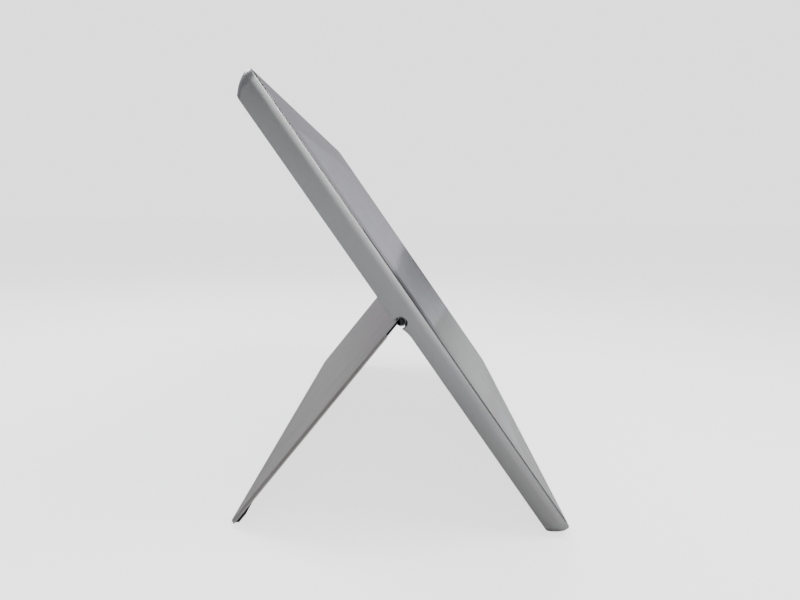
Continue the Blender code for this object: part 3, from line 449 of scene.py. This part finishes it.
def make_weave_material():
    """Black mesh of round threads that cross over and under, drawn in the panel's own plane."""
    material = bpy.data.materials.new("woven_mesh")
    material.use_nodes = True
    tree = material.node_tree
    shader = tree.nodes["Principled BSDF"]
    shader.inputs["Specular IOR Level"].default_value = 0.3
    coordinates = add_node(tree, "ShaderNodeTexCoord")
    flat = add_node(tree, "ShaderNodeMapping")
    flat.inputs["Rotation"].default_value = (panel_tilt, 0.0, 0.0)
    tree.links.new(coordinates.outputs["Object"], flat.inputs["Vector"])
    threads = []
    for direction in ("X", "Z"):
        wave = add_node(tree, "ShaderNodeTexWave", bands_direction=direction)
        wave.inputs["Scale"].default_value = math.tau / THREAD / 20.0
        tree.links.new(flat.outputs["Vector"], wave.inputs["Vector"])
        threads.append(wave.outputs["Fac"])
    crossing = add_node(tree, "ShaderNodeMath", operation="MAXIMUM")
    tree.links.new(threads[0], crossing.inputs[0])
    tree.links.new(threads[1], crossing.inputs[1])
    tone = add_node(tree, "ShaderNodeMix", data_type="RGBA")
    tone.inputs["A"].default_value = (0.002, 0.002, 0.002, 1.0)
    tone.inputs["B"].default_value = (0.045, 0.045, 0.048, 1.0)
    tree.links.new(crossing.outputs["Value"], tone.inputs["Factor"])
    tree.links.new(tone.outputs["Result"], shader.inputs["Base Color"])
    bump = add_node(tree, "ShaderNodeBump")
    bump.inputs["Distance"].default_value = 0.0001
    tree.links.new(crossing.outputs["Value"], bump.inputs["Height"])
    tree.links.new(bump.outputs["Normal"], shader.inputs["Normal"])
    shader.inputs["Roughness"].default_value = 0.8
    return material


back_turn = Matrix((Vector((-1.0, 0.0, 0.0)), panel_up, panel_back)).transposed().to_4x4()


def lay_on_back(piece, place):
    """Turns a piece drawn lying flat so that it lies along the panel's back, at its place."""
    piece.matrix_world = Matrix.Translation(place) @ back_turn
    only(piece)
    bpy.ops.object.transform_apply(location=True, rotation=True, scale=True)


def place_on(x, back, up):
    """A point from its distances along the width, the panel's depth and the panel's height."""
    return Vector((x, 0.0, 0.0)) + panel_back * back + panel_up * up


def add_block(name, width, height, thick):
    """A flat block lying at the origin, its width along X and its height along Y."""
    bpy.ops.object.select_all(action="DESELECT")
    bpy.ops.mesh.primitive_cube_add(size=1.0)
    piece = bpy.context.object
    piece.name = name
    piece.data.name = name
    piece.scale = (width, height, thick)
    bpy.ops.object.transform_apply(location=False, rotation=False, scale=True)
    return piece


def round_corners(piece, radius, segments=6):
    """Rounds the four upright corners of a flat block."""
    only(piece)
    bpy.ops.object.mode_set(mode="EDIT")
    bpy.ops.mesh.select_all(action="DESELECT")
    bpy.ops.object.mode_set(mode="OBJECT")
    for edge in piece.data.edges:
        start, end = (piece.data.vertices[index].co for index in edge.vertices)
        edge.select = abs(start.x - end.x) + abs(start.y - end.y) < WELD
    bpy.ops.object.mode_set(mode="EDIT")
    bpy.ops.mesh.select_mode(type="EDGE")
    bpy.ops.mesh.bevel(offset=radius, segments=segments, profile=0.5, affect="EDGES")
    bpy.ops.object.mode_set(mode="OBJECT")


woven_mesh = make_weave_material()
mesh_back = span_along("speaker_left", panel_back)[1] + MESH_GAP
cover_head = span_along("rear_cover", panel_up)[1]
mesh_pieces = [("air_slot_mesh", 0.0, cover_head - AIR_SLOTS_DROP, *AIR_SLOTS_SIZE)]
for side in ("left", "right"):
    speaker = "speaker_" + side
    low, high = span_along(speaker, panel_up)
    left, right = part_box(speaker)[0].x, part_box(speaker)[1].x
    middle = (left + right) / 2
    mesh_pieces.append((speaker + "_mesh", middle, (low + high) / 2, right - left, high - low))
    dress(nodes[speaker], "black_plastic", black_moulding)
for name, x, up, wide, tall in mesh_pieces:
    cloth = add_block(name, wide, tall, MESH_THICK)
    round_corners(cloth, MESH_CORNER)
    lay_on_back(cloth, place_on(x, mesh_back, up))
    dress(cloth, "black_plastic", woven_mesh)
    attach(cloth, "casing")


# ---------------------------------------------------------------- circuit board
# A green glass-fibre board with its switches, shield can, radio module and sockets soldered on.
# It is screwed to posts inside the cover and is out of sight once the frame is closed.
solder_mask = finish_material(
    "solder_mask",
    dark=(0.010, 0.075, 0.030),
    light=(0.020, 0.120, 0.050),
    gloss=(0.30, 0.42),
    clouds=140.0,
    grain=1400.0,
    relief=0.000015,
    stretch=(1.0, 0.25, 0.25),
)
dress(nodes["main_board"], "green_board", solder_mask)
dress(nodes["led_strip"], "green_board", solder_mask)
tinned_parts = ["shield_can", "wifi_module", "power_switch", "volume_up_switch", "volume_down_switch"]
tinned_parts += [f"board_screw_{number}" for number in range(1, 5)]
tinned_parts += [f"hinge_screw_{number}" for number in range(1, 5)]
for name in tinned_parts:
    dress(nodes[name], "bright_steel", nickel_steel)
for name in ("speaker_plug", "ribbon_plug"):
    dress(nodes[name], "black_plastic", black_moulding)
inlet_sleeve = weld_copy("power_inlet", "inlet_sleeve")
dress(inlet_sleeve, "bright_steel", nickel_steel)
ease_edges(inlet_sleeve, 0.00005, steeper_than=30.0)
card_shell = weld_copy("card_socket", "card_shell")
dress(card_shell, "bright_steel", nickel_steel)
ease_edges(card_shell, 0.00008)


# ---------------------------------------------------------------- buttons
# Three moulded caps with a satin grey finish, each with a small raised mark: the usual switch sign
# on the power button, a plus and a minus on the volume buttons. The marks are printed light grey.
MARK_HALF = 0.00095
MARK_LINE = 0.00026
MARK_PROUD = 0.00005
SWITCH_GAP_ANGLE = math.radians(38)

satin_grey = finish_material(
    "satin_grey",
    dark=(0.150, 0.153, 0.157),
    light=(0.185, 0.188, 0.192),
    gloss=(0.36, 0.46),
    clouds=220.0,
    grain=3000.0,
    relief=0.000010,
)
mark_grey = finish_material(
    "mark_grey",
    dark=(0.58, 0.58, 0.58),
    light=(0.66, 0.66, 0.66),
    gloss=(0.40, 0.50),
    clouds=300.0,
    grain=3000.0,
    relief=0.000004,
)


def add_bar_mark(name):
    """A short straight bar."""
    return add_block(name, 2 * MARK_HALF, MARK_LINE, 2 * MARK_PROUD)


def add_plus_mark(name):
    """A small square whose four sides are drawn out into arms."""
    piece = add_block(name, MARK_LINE, MARK_LINE, 2 * MARK_PROUD)
    for face in piece.data.polygons:
        face.select = abs(face.normal.z) < 0.5
    bpy.ops.object.mode_set(mode="EDIT")
    bpy.ops.mesh.select_mode(type="FACE")
    bpy.ops.mesh.extrude_faces_move(
        TRANSFORM_OT_shrink_fatten={"value": MARK_HALF - MARK_LINE / 2}
    )
    bpy.ops.object.mode_set(mode="OBJECT")
    return piece


def add_switch_mark(name):
    """A ring that is open at its top, with a short bar standing in the gap."""
    bar = add_block(name, MARK_LINE, 1.1 * MARK_HALF, 2 * MARK_PROUD)
    only(bar)
    bpy.ops.object.mode_set(mode="EDIT")
    bpy.ops.mesh.select_all(action="SELECT")
    bpy.ops.transform.translate(value=(0.0, 0.75 * MARK_HALF, 0.0))
    bpy.ops.mesh.select_all(action="DESELECT")
    bpy.ops.mesh.primitive_torus_add(
        major_segments=48,
        minor_segments=8,
        major_radius=MARK_HALF,
        minor_radius=MARK_LINE / 2,
    )
    bpy.ops.transform.resize(value=(1.0, 1.0, 2 * MARK_PROUD / MARK_LINE))
    bpy.ops.mesh.select_all(action="DESELECT")
    bpy.ops.object.mode_set(mode="OBJECT")
    inner = MARK_HALF - 0.6 * MARK_LINE
    for vertex in bar.data.vertices:
        off_top = abs(math.atan2(vertex.co.x, vertex.co.y))
        on_ring = math.hypot(vertex.co.x, vertex.co.y) > inner
        in_bar = abs(vertex.co.x) < MARK_LINE
        vertex.select = on_ring and off_top < SWITCH_GAP_ANGLE and not in_bar
    bpy.ops.object.mode_set(mode="EDIT")
    bpy.ops.mesh.select_mode(type="VERT")
    bpy.ops.mesh.delete(type="VERT")
    bpy.ops.object.mode_set(mode="OBJECT")
    return bar


button_marks = {
    "power": add_switch_mark,
    "volume_up": add_plus_mark,
    "volume_down": add_bar_mark,
}
for key, add_mark in button_marks.items():
    node = key + "_button"
    cap = weld_copy(node, key + "_cap")
    dress(cap, "button_grey", satin_grey)
    ease_edges(cap, 0.00010, segments=3, steeper_than=30.0)
    middle = sum(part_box(node), Vector()) / 2
    face = place_on(middle.x, span_along(node, panel_back)[1], middle.dot(panel_up))
    mark = add_mark(key + "_mark")
    lay_on_back(mark, face)
    dress(mark, "button_grey", mark_grey)
    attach(mark, key + "_key")


# ---------------------------------------------------------------- leads, aerial and ribbon
# Thin insulated wires from the speakers and to the aerial, the aerial's own film, and the display's
# flat ribbon, all inside the cover.
wire_sleeve = finish_material(
    "wire_sleeve",
    dark=(0.035, 0.035, 0.038),
    light=(0.060, 0.060, 0.064),
    gloss=(0.35, 0.50),
    clouds=200.0,
    grain=2000.0,
    relief=0.000010,
)
amber_film = finish_material(
    "amber_film",
    dark=(0.32, 0.15, 0.025),
    light=(0.50, 0.27, 0.055),
    gloss=(0.22, 0.35),
    clouds=120.0,
    grain=1600.0,
    relief=0.000008,
    stretch=(1.0, 0.05, 0.05),
)
for name in ("speaker_lead_left", "speaker_lead_right", "aerial_lead"):
    dress(nodes[name], "lead_sleeve", wire_sleeve)
for name in ("wifi_aerial", "display_ribbon"):
    dress(nodes[name], "amber_film", amber_film)


# ---------------------------------------------------------------- display
# The backlight's steel tray with its light strip and clear light guide, and the liquid-crystal cell
# on top. The cell shows a calm picture of a lake, hills and haze, lit from behind; its dark bank
# and rippled water are painted reflection, laid where reflections cross the glass.
ACTIVE_WIDTH = 0.217
ACTIVE_HEIGHT = 0.136
PICTURE_GLOW = 2.0
LINE_SOFT = 0.0004
HILLS_TOP = (0.31, 14.0, -0.036, 0.040)
HILLS_SOFT = 0.0006
HILLS_HAZE = (0.82, 0.83, 0.93)
ROUGH_LINE = (1.70, 40.0, -0.003, 0.006)
MEADOW_TOP = (-0.126, -0.0245)
# The dark bank and the rippled water are painted reflection, laid where reflections cross the glass.
BANK_TOP = (-0.23, -0.0680)
REFLECTED_BANK_BROWN = (0.055, 0.035, 0.025)
WATER_TOP = (-0.20, -0.0715)
MEADOW_DARK = (0.158, 0.165, 0.125)
MEADOW_LIGHT = (0.346, 0.346, 0.274)
REFLECTED_WATER_DARK = (0.093, 0.093, 0.112)
REFLECTED_WATER_LIGHT = (0.418, 0.418, 0.461)

clear_guide = finish_material(
    "clear_guide",
    dark=(0.80, 0.82, 0.84),
    light=(0.86, 0.88, 0.90),
    gloss=(0.08, 0.16),
    clouds=60.0,
    grain=2000.0,
    relief=0.000004,
)
dress(nodes["backlight_tray"], "bright_steel", nickel_steel)
dress(nodes["light_guide"], "clear_acrylic", clear_guide)


def value_of(tree, operation, first, second=0.0, third=0.0):
    """A maths node on sockets or numbers, as its output socket."""
    made = add_node(tree, "ShaderNodeMath", operation=operation)
    for socket, given in zip(made.inputs, (first, second, third)):
        if isinstance(given, (int, float)):
            socket.default_value = given
        else:
            tree.links.new(given, socket)
    return made.outputs["Value"]


def below(tree, height, line, softness):
    """1 where the height is under the line, 0 above it, with a soft step between."""
    step = add_node(tree, "ShaderNodeMapRange", interpolation_type="SMOOTHSTEP")
    step.inputs["From Min"].default_value = -softness
    step.inputs["From Max"].default_value = softness
    tree.links.new(value_of(tree, "SUBTRACT", line, height), step.inputs["Value"])
    return step.outputs["Result"]


def plain_tone(tree, colour):
    """A plain colour as a socket."""
    tone = add_node(tree, "ShaderNodeRGB")
    tone.outputs["Color"].default_value = (*colour, 1.0)
    return tone.outputs["Color"]


def over(tree, mask, base, colour):
    """The colour laid over the base where the mask is 1."""
    layer = add_node(tree, "ShaderNodeMix", data_type="RGBA")
    tree.links.new(mask, layer.inputs["Factor"])
    tree.links.new(base, layer.inputs["A"])
    if isinstance(colour, tuple):
        layer.inputs["B"].default_value = (*colour, 1.0)
    else:
        tree.links.new(colour, layer.inputs["B"])
    return layer.outputs["Result"]


def ridge(tree, across, offset, scale, low, swing):
    """The rolling line of a range of hills, as a height for each place across the picture."""
    place = value_of(tree, "ADD", across, offset)
    noise = add_node(tree, "ShaderNodeTexNoise", noise_dimensions="1D")
    noise.inputs["Scale"].default_value = scale
    noise.inputs["Detail"].default_value = 5.0
    tree.links.new(place, noise.inputs["W"])
    return value_of(tree, "MULTIPLY_ADD", noise.outputs["Fac"], swing, low)


def slope(tree, across, steepness, rise):
    """A straight line across the picture, as a height for each place."""
    return value_of(tree, "MULTIPLY_ADD", across, steepness, rise)


def make_picture_material(centre):
    """The lit cell: sky and haze, far hills, a long grassy slope, and a dark bank and rippled water
    that are painted reflection.
    """
    material = bpy.data.materials.new("display_picture")
    material.use_nodes = True
    tree = material.node_tree
    shader = tree.nodes["Principled BSDF"]
    shader.inputs["Base Color"].default_value = (0.01, 0.01, 0.012, 1.0)
    shader.inputs["Roughness"].default_value = 0.25
    shader.inputs["Emission Strength"].default_value = PICTURE_GLOW
    coordinates = add_node(tree, "ShaderNodeTexCoord")
    flat = add_node(tree, "ShaderNodeMapping")
    flat.inputs["Rotation"].default_value = (panel_tilt, 0.0, 0.0)
    flat.inputs["Location"].default_value = (0.0, 0.0, -centre.dot(panel_up))
    tree.links.new(coordinates.outputs["Object"], flat.inputs["Vector"])
    parts = add_node(tree, "ShaderNodeSeparateXYZ")
    tree.links.new(flat.outputs["Vector"], parts.inputs["Vector"])
    across = parts.outputs["X"]
    height = parts.outputs["Z"]

    sky = add_node(tree, "ShaderNodeValToRGB")
    sky.color_ramp.elements[0].position = 0.30
    sky.color_ramp.elements[0].color = (0.96, 0.95, 1.04, 1.0)
    sky.color_ramp.elements[1].position = 1.0
    sky.color_ramp.elements[1].color = (0.27, 0.29, 0.36, 1.0)
    share = value_of(tree, "MULTIPLY_ADD", height, 1.0 / ACTIVE_HEIGHT, 0.5)
    tree.links.new(share, sky.inputs["Fac"])
    colour = sky.outputs["Color"]
    far_hills = ridge(tree, across, *HILLS_TOP)
    colour = over(tree, below(tree, height, far_hills, HILLS_SOFT), colour, HILLS_HAZE)

    grass = add_node(tree, "ShaderNodeTexNoise")
    grass.inputs["Scale"].default_value = 240.0
    grass.inputs["Detail"].default_value = 8.0
    tree.links.new(flat.outputs["Vector"], grass.inputs["Vector"])
    meadow = over(tree, grass.outputs["Fac"], plain_tone(tree, MEADOW_DARK), MEADOW_LIGHT)
    rough_line = ridge(tree, across, *ROUGH_LINE)
    meadow_top = value_of(tree, "ADD", slope(tree, across, *MEADOW_TOP), rough_line)
    colour = over(tree, below(tree, height, meadow_top, LINE_SOFT), colour, meadow)

    # The dark bank: painted reflection.
    bank_top = value_of(tree, "ADD", slope(tree, across, *BANK_TOP), rough_line)
    colour = over(tree, below(tree, height, bank_top, LINE_SOFT), colour, REFLECTED_BANK_BROWN)

    # The rippled water: painted reflection.
    reflection_ripples = add_node(tree, "ShaderNodeTexWave", bands_direction="Z", wave_profile="SIN")
    reflection_ripples.inputs["Scale"].default_value = 22.0
    reflection_ripples.inputs["Distortion"].default_value = 5.0
    reflection_ripples.inputs["Detail"].default_value = 3.0
    reflection_ripples.inputs["Detail Scale"].default_value = 1.6
    tree.links.new(flat.outputs["Vector"], reflection_ripples.inputs["Vector"])
    water = over(tree, reflection_ripples.outputs["Fac"], plain_tone(tree, REFLECTED_WATER_DARK), REFLECTED_WATER_LIGHT)
    water_top = slope(tree, across, *WATER_TOP)
    colour = over(tree, below(tree, height, water_top, LINE_SOFT), colour, water)

    in_width = below(tree, value_of(tree, "ABSOLUTE", across), ACTIVE_WIDTH / 2, WELD)
    in_height = below(tree, value_of(tree, "ABSOLUTE", height), ACTIVE_HEIGHT / 2, WELD)
    inside = value_of(tree, "MULTIPLY", in_width, in_height)
    dark = add_node(tree, "ShaderNodeMix", data_type="RGBA")
    dark.inputs["A"].default_value = (0.0, 0.0, 0.0, 1.0)
    tree.links.new(inside, dark.inputs["Factor"])
    tree.links.new(colour, dark.inputs["B"])
    tree.links.new(dark.outputs["Result"], shader.inputs["Emission Color"])
    return material


glass_middle = sum(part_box("cover_glass"), Vector()) / 2
dress(nodes["lcd_panel"], "display_cell", make_picture_material(glass_middle))


# ---------------------------------------------------------------- display frame and case screws
# A black moulded frame holds the display in the cover. Six countersunk screws with a cross recess
# go through the floor of the stand's recess into its posts.
SHANK_RADIUS = 0.0007
HEAD_RIM = 0.00008
CONE_SHARE = 0.44
CROSS_ARM = 0.00095
CROSS_WIDTH = 0.00034
CROSS_DEPTH = 0.00045
CROSS_TAPER = 0.6
SCREW_TURN = math.radians(37)

dress(nodes["display_frame"], "black_plastic", black_moulding)


def extrude_faces_down(length, scale):
    """Draws the selected end face down by the length and scales it."""
    bpy.ops.mesh.extrude_region_move(TRANSFORM_OT_translate={"value": (0.0, 0.0, -length)})
    bpy.ops.transform.resize(value=(scale, scale, 1.0))


def add_cross_cutter():
    """The cross that the driver fits, tapering a little as it goes down."""
    cutter = add_block("cross_cutter", CROSS_WIDTH, CROSS_WIDTH, 2 * CROSS_DEPTH)
    for face in cutter.data.polygons:
        face.select = abs(face.normal.z) < 0.5
    bpy.ops.object.mode_set(mode="EDIT")
    bpy.ops.mesh.select_mode(type="FACE")
    bpy.ops.mesh.extrude_faces_move(
        TRANSFORM_OT_shrink_fatten={"value": CROSS_ARM - CROSS_WIDTH / 2}
    )
    bpy.ops.object.mode_set(mode="OBJECT")
    for vertex in cutter.data.vertices:
        if vertex.co.z < 0.0:
            vertex.co.xy *= CROSS_TAPER
    return cutter


def add_countersunk_screw(name, head_radius, length):
    """A screw standing on its tip with the flat of its head at height 0."""
    bpy.ops.object.select_all(action="DESELECT")
    bpy.ops.mesh.primitive_cylinder_add(
        vertices=40, radius=head_radius, depth=HEAD_RIM, location=(0.0, 0.0, -HEAD_RIM / 2)
    )
    screw = bpy.context.object
    screw.name = name
    bpy.ops.object.transform_apply(location=True)
    for face in screw.data.polygons:
        face.select = face.normal.z < -0.5
    bpy.ops.object.mode_set(mode="EDIT")
    bpy.ops.mesh.select_mode(type="FACE")
    cone = CONE_SHARE * head_radius
    extrude_faces_down(cone, SHANK_RADIUS / head_radius)
    extrude_faces_down(length - HEAD_RIM - cone, 1.0)
    bpy.ops.object.mode_set(mode="OBJECT")
    cutter = add_cross_cutter()
    only(screw)
    cross = screw.modifiers.new("cross", "BOOLEAN")
    cross.object = cutter
    cross.solver = "EXACT"
    bpy.ops.object.modifier_apply(modifier=cross.name)
    bpy.data.objects.remove(cutter)
    return screw


for number in range(1, 7):
    node = f"case_screw_{number}"
    near, far = span_along(node, panel_back)
    low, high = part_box(node)
    screw = add_countersunk_screw(f"cover_screw_{number}", (high.x - low.x) / 2, far - near)
    screw.rotation_euler.z = SCREW_TURN * number
    only(screw)
    bpy.ops.object.transform_apply(rotation=True)
    up = ((low + high) / 2).dot(panel_up)
    lay_on_back(screw, place_on((low.x + high.x) / 2, far, up))
    dress(screw, "bright_steel", nickel_steel)
    ease_edges(screw, 0.00003, segments=1, steeper_than=35.0)
    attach(screw, "casing")
    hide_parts(node)


# ---------------------------------------------------------------- tape, border and front glass
# Black foam tape holds the glass to the cover's ledge. The glass is one chemically hardened sheet
# with ground edges, and a black border is printed on its back round the picture.
INK_THICK = 0.00006
INK_GAP = 0.00005
GLASS_CORNER = 0.0028

foam_tape = finish_material(
    "foam_tape",
    dark=(0.008, 0.008, 0.008),
    light=(0.016, 0.016, 0.016),
    gloss=(0.85, 0.95),
    clouds=150.0,
    grain=2200.0,
    relief=0.00005,
)
border_ink = finish_material(
    "border_ink",
    dark=(0.0035, 0.0035, 0.0040),
    light=(0.0055, 0.0055, 0.0060),
    gloss=(0.30, 0.40),
    clouds=80.0,
    grain=2600.0,
    relief=0.000003,
)
dress(nodes["glass_tape"], "black_foam_tape", foam_tape)

glass_left, glass_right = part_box("cover_glass")[0].x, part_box("cover_glass")[1].x
glass_foot, glass_head = span_along("cover_glass", panel_up)
border = add_block("glass_border", glass_right - glass_left, glass_head - glass_foot, INK_THICK)
round_corners(border, GLASS_CORNER, segments=12)
window = add_block("border_window", ACTIVE_WIDTH, ACTIVE_HEIGHT, 10 * INK_THICK)
only(border)
opening = border.modifiers.new("opening", "BOOLEAN")
opening.object = window
opening.solver = "EXACT"
bpy.ops.object.modifier_apply(modifier=opening.name)
bpy.data.objects.remove(window)
glass_back = span_along("cover_glass", panel_back)[1]
ink_place = glass_back + INK_GAP + INK_THICK / 2
lay_on_back(border, place_on(0.0, ink_place, glass_middle.dot(panel_up)))
dress(border, "black_foam_tape", border_ink)
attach(border, "casing")


def make_glass_material():
    """Clear glass, with a faint veil of finger marks in its gloss."""
    material = bpy.data.materials.new("front_glass")
    material.use_nodes = True
    tree = material.node_tree
    shader = tree.nodes["Principled BSDF"]
    shader.inputs["Base Color"].default_value = (0.94, 0.96, 0.96, 1.0)
    shader.inputs["Transmission Weight"].default_value = 1.0
    shader.inputs["IOR"].default_value = 1.51
    coordinates = add_node(tree, "ShaderNodeTexCoord")
    smears = add_node(tree, "ShaderNodeTexNoise")
    smears.inputs["Scale"].default_value = 45.0
    smears.inputs["Detail"].default_value = 6.0
    tree.links.new(coordinates.outputs["Object"], smears.inputs["Vector"])
    gloss = add_node(tree, "ShaderNodeMapRange")
    gloss.inputs["From Min"].default_value = 0.35
    gloss.inputs["From Max"].default_value = 0.75
    gloss.inputs["To Min"].default_value = 0.05
    gloss.inputs["To Max"].default_value = 0.11
    tree.links.new(smears.outputs["Fac"], gloss.inputs["Value"])
    tree.links.new(gloss.outputs["Result"], shader.inputs["Roughness"])
    return material


front_sheet = weld_copy("cover_glass", "front_sheet")
dress(front_sheet, "front_glass", make_glass_material())
only(front_sheet)
bpy.ops.object.shade_smooth_by_angle(angle=SMOOTH_UNDER)


# ---------------------------------------------------------------- table and light
# A plain pale table in an even room. One soft light hangs behind the frame, one over its front, and
# a wider one stands farther off, behind the camera. Only the camera sees the table's own glow.
TABLE_PALE = 0.80
TABLE_DIM = 0.48
TABLE_GLOW = 1.80
BACKDROP = 2.10
ROOM_NEAR = (0.22, 0.22, 0.23, 1.0)
ROOM_FAR = (0.47, 0.46, 0.50, 1.0)

bpy.ops.object.select_all(action="DESELECT")
bpy.ops.mesh.primitive_plane_add(size=24.0, location=(0.0, 0.0, 0.0))
table_top = bpy.context.object
table_top.name = "table_top"
table_paint = finish_material(
    "table_paint",
    dark=(TABLE_PALE, TABLE_PALE, TABLE_PALE),
    light=(TABLE_PALE, TABLE_PALE, TABLE_PALE),
    gloss=(0.60, 0.70),
    clouds=3.0,
    grain=400.0,
    relief=0.00002,
)
table_top.data.materials.append(table_paint)
paint_nodes = table_paint.node_tree
paint_shader = paint_nodes.nodes["Principled BSDF"]
paint_shader.inputs["Emission Color"].default_value = (1.0, 1.0, 1.0, 1.0)
paint_shader.inputs["Emission Strength"].default_value = TABLE_GLOW
seen = add_node(paint_nodes, "ShaderNodeLightPath")
dim = add_node(paint_nodes, "ShaderNodeBsdfDiffuse")
dim.inputs["Color"].default_value = (TABLE_DIM, TABLE_DIM, TABLE_DIM, 1.0)
pick = add_node(paint_nodes, "ShaderNodeMixShader")
paint_nodes.links.new(seen.outputs["Is Camera Ray"], pick.inputs["Fac"])
paint_nodes.links.new(dim.outputs["BSDF"], pick.inputs[1])
paint_nodes.links.new(paint_shader.outputs["BSDF"], pick.inputs[2])
paint_output = paint_nodes.nodes["Material Output"]
paint_nodes.links.new(pick.outputs["Shader"], paint_output.inputs["Surface"])


def add_soft_light(name, place, aim, size, power, colour):
    light = bpy.data.lights.new(name, "AREA")
    light.shape = "RECTANGLE"
    light.size, light.size_y = size
    light.energy = power
    light.color = colour
    lamp = bpy.data.objects.new(name, light)
    bpy.context.scene.collection.objects.link(lamp)
    lamp.location = place
    lamp.rotation_euler = (Vector(aim) - Vector(place)).to_track_quat("-Z", "Y").to_euler()


add_soft_light("window", (0.25, 0.30, 0.60), (0.0, 0.0, 0.05), (0.40, 0.30), 3.6, (0.92, 0.96, 1.0))
add_soft_light("ceiling", (-0.14, -0.28, 0.50), (-0.14, 0.0, 0.0), (0.35, 0.30), 2.2, (1.0, 0.99, 0.97))
add_soft_light("fill", (-1.0, -0.25, 0.40), (0.0, 0.0, 0.0), (1.0, 0.6), 4.5, (1.0, 1.0, 1.0))

world = bpy.data.worlds.new("room")
bpy.context.scene.world = world
world.use_nodes = True
room_nodes = world.node_tree
room = room_nodes.nodes["Background"]
direction = add_node(room_nodes, "ShaderNodeTexCoord")
direction_parts = add_node(room_nodes, "ShaderNodeSeparateXYZ")
room_nodes.links.new(direction.outputs["Generated"], direction_parts.inputs["Vector"])
far_side = add_node(room_nodes, "ShaderNodeMapRange", interpolation_type="SMOOTHSTEP")
far_side.inputs["From Min"].default_value = -0.3
far_side.inputs["From Max"].default_value = 0.9
room_nodes.links.new(direction_parts.outputs["X"], far_side.inputs["Value"])
walls = add_node(room_nodes, "ShaderNodeMix", data_type="RGBA")
walls.inputs["A"].default_value = ROOM_NEAR
walls.inputs["B"].default_value = ROOM_FAR
room_nodes.links.new(far_side.outputs["Result"], walls.inputs["Factor"])
room_nodes.links.new(walls.outputs["Result"], room.inputs["Color"])
backdrop = add_node(room_nodes, "ShaderNodeBackground")
backdrop.inputs["Color"].default_value = (BACKDROP, BACKDROP, BACKDROP, 1.0)
sight = add_node(room_nodes, "ShaderNodeLightPath")
choice = add_node(room_nodes, "ShaderNodeMixShader")
room_nodes.links.new(sight.outputs["Is Camera Ray"], choice.inputs["Fac"])
room_nodes.links.new(room.outputs["Background"], choice.inputs[1])
room_nodes.links.new(backdrop.outputs["Background"], choice.inputs[2])
room_nodes.links.new(choice.outputs["Shader"], room_nodes.nodes["World Output"].inputs["Surface"])
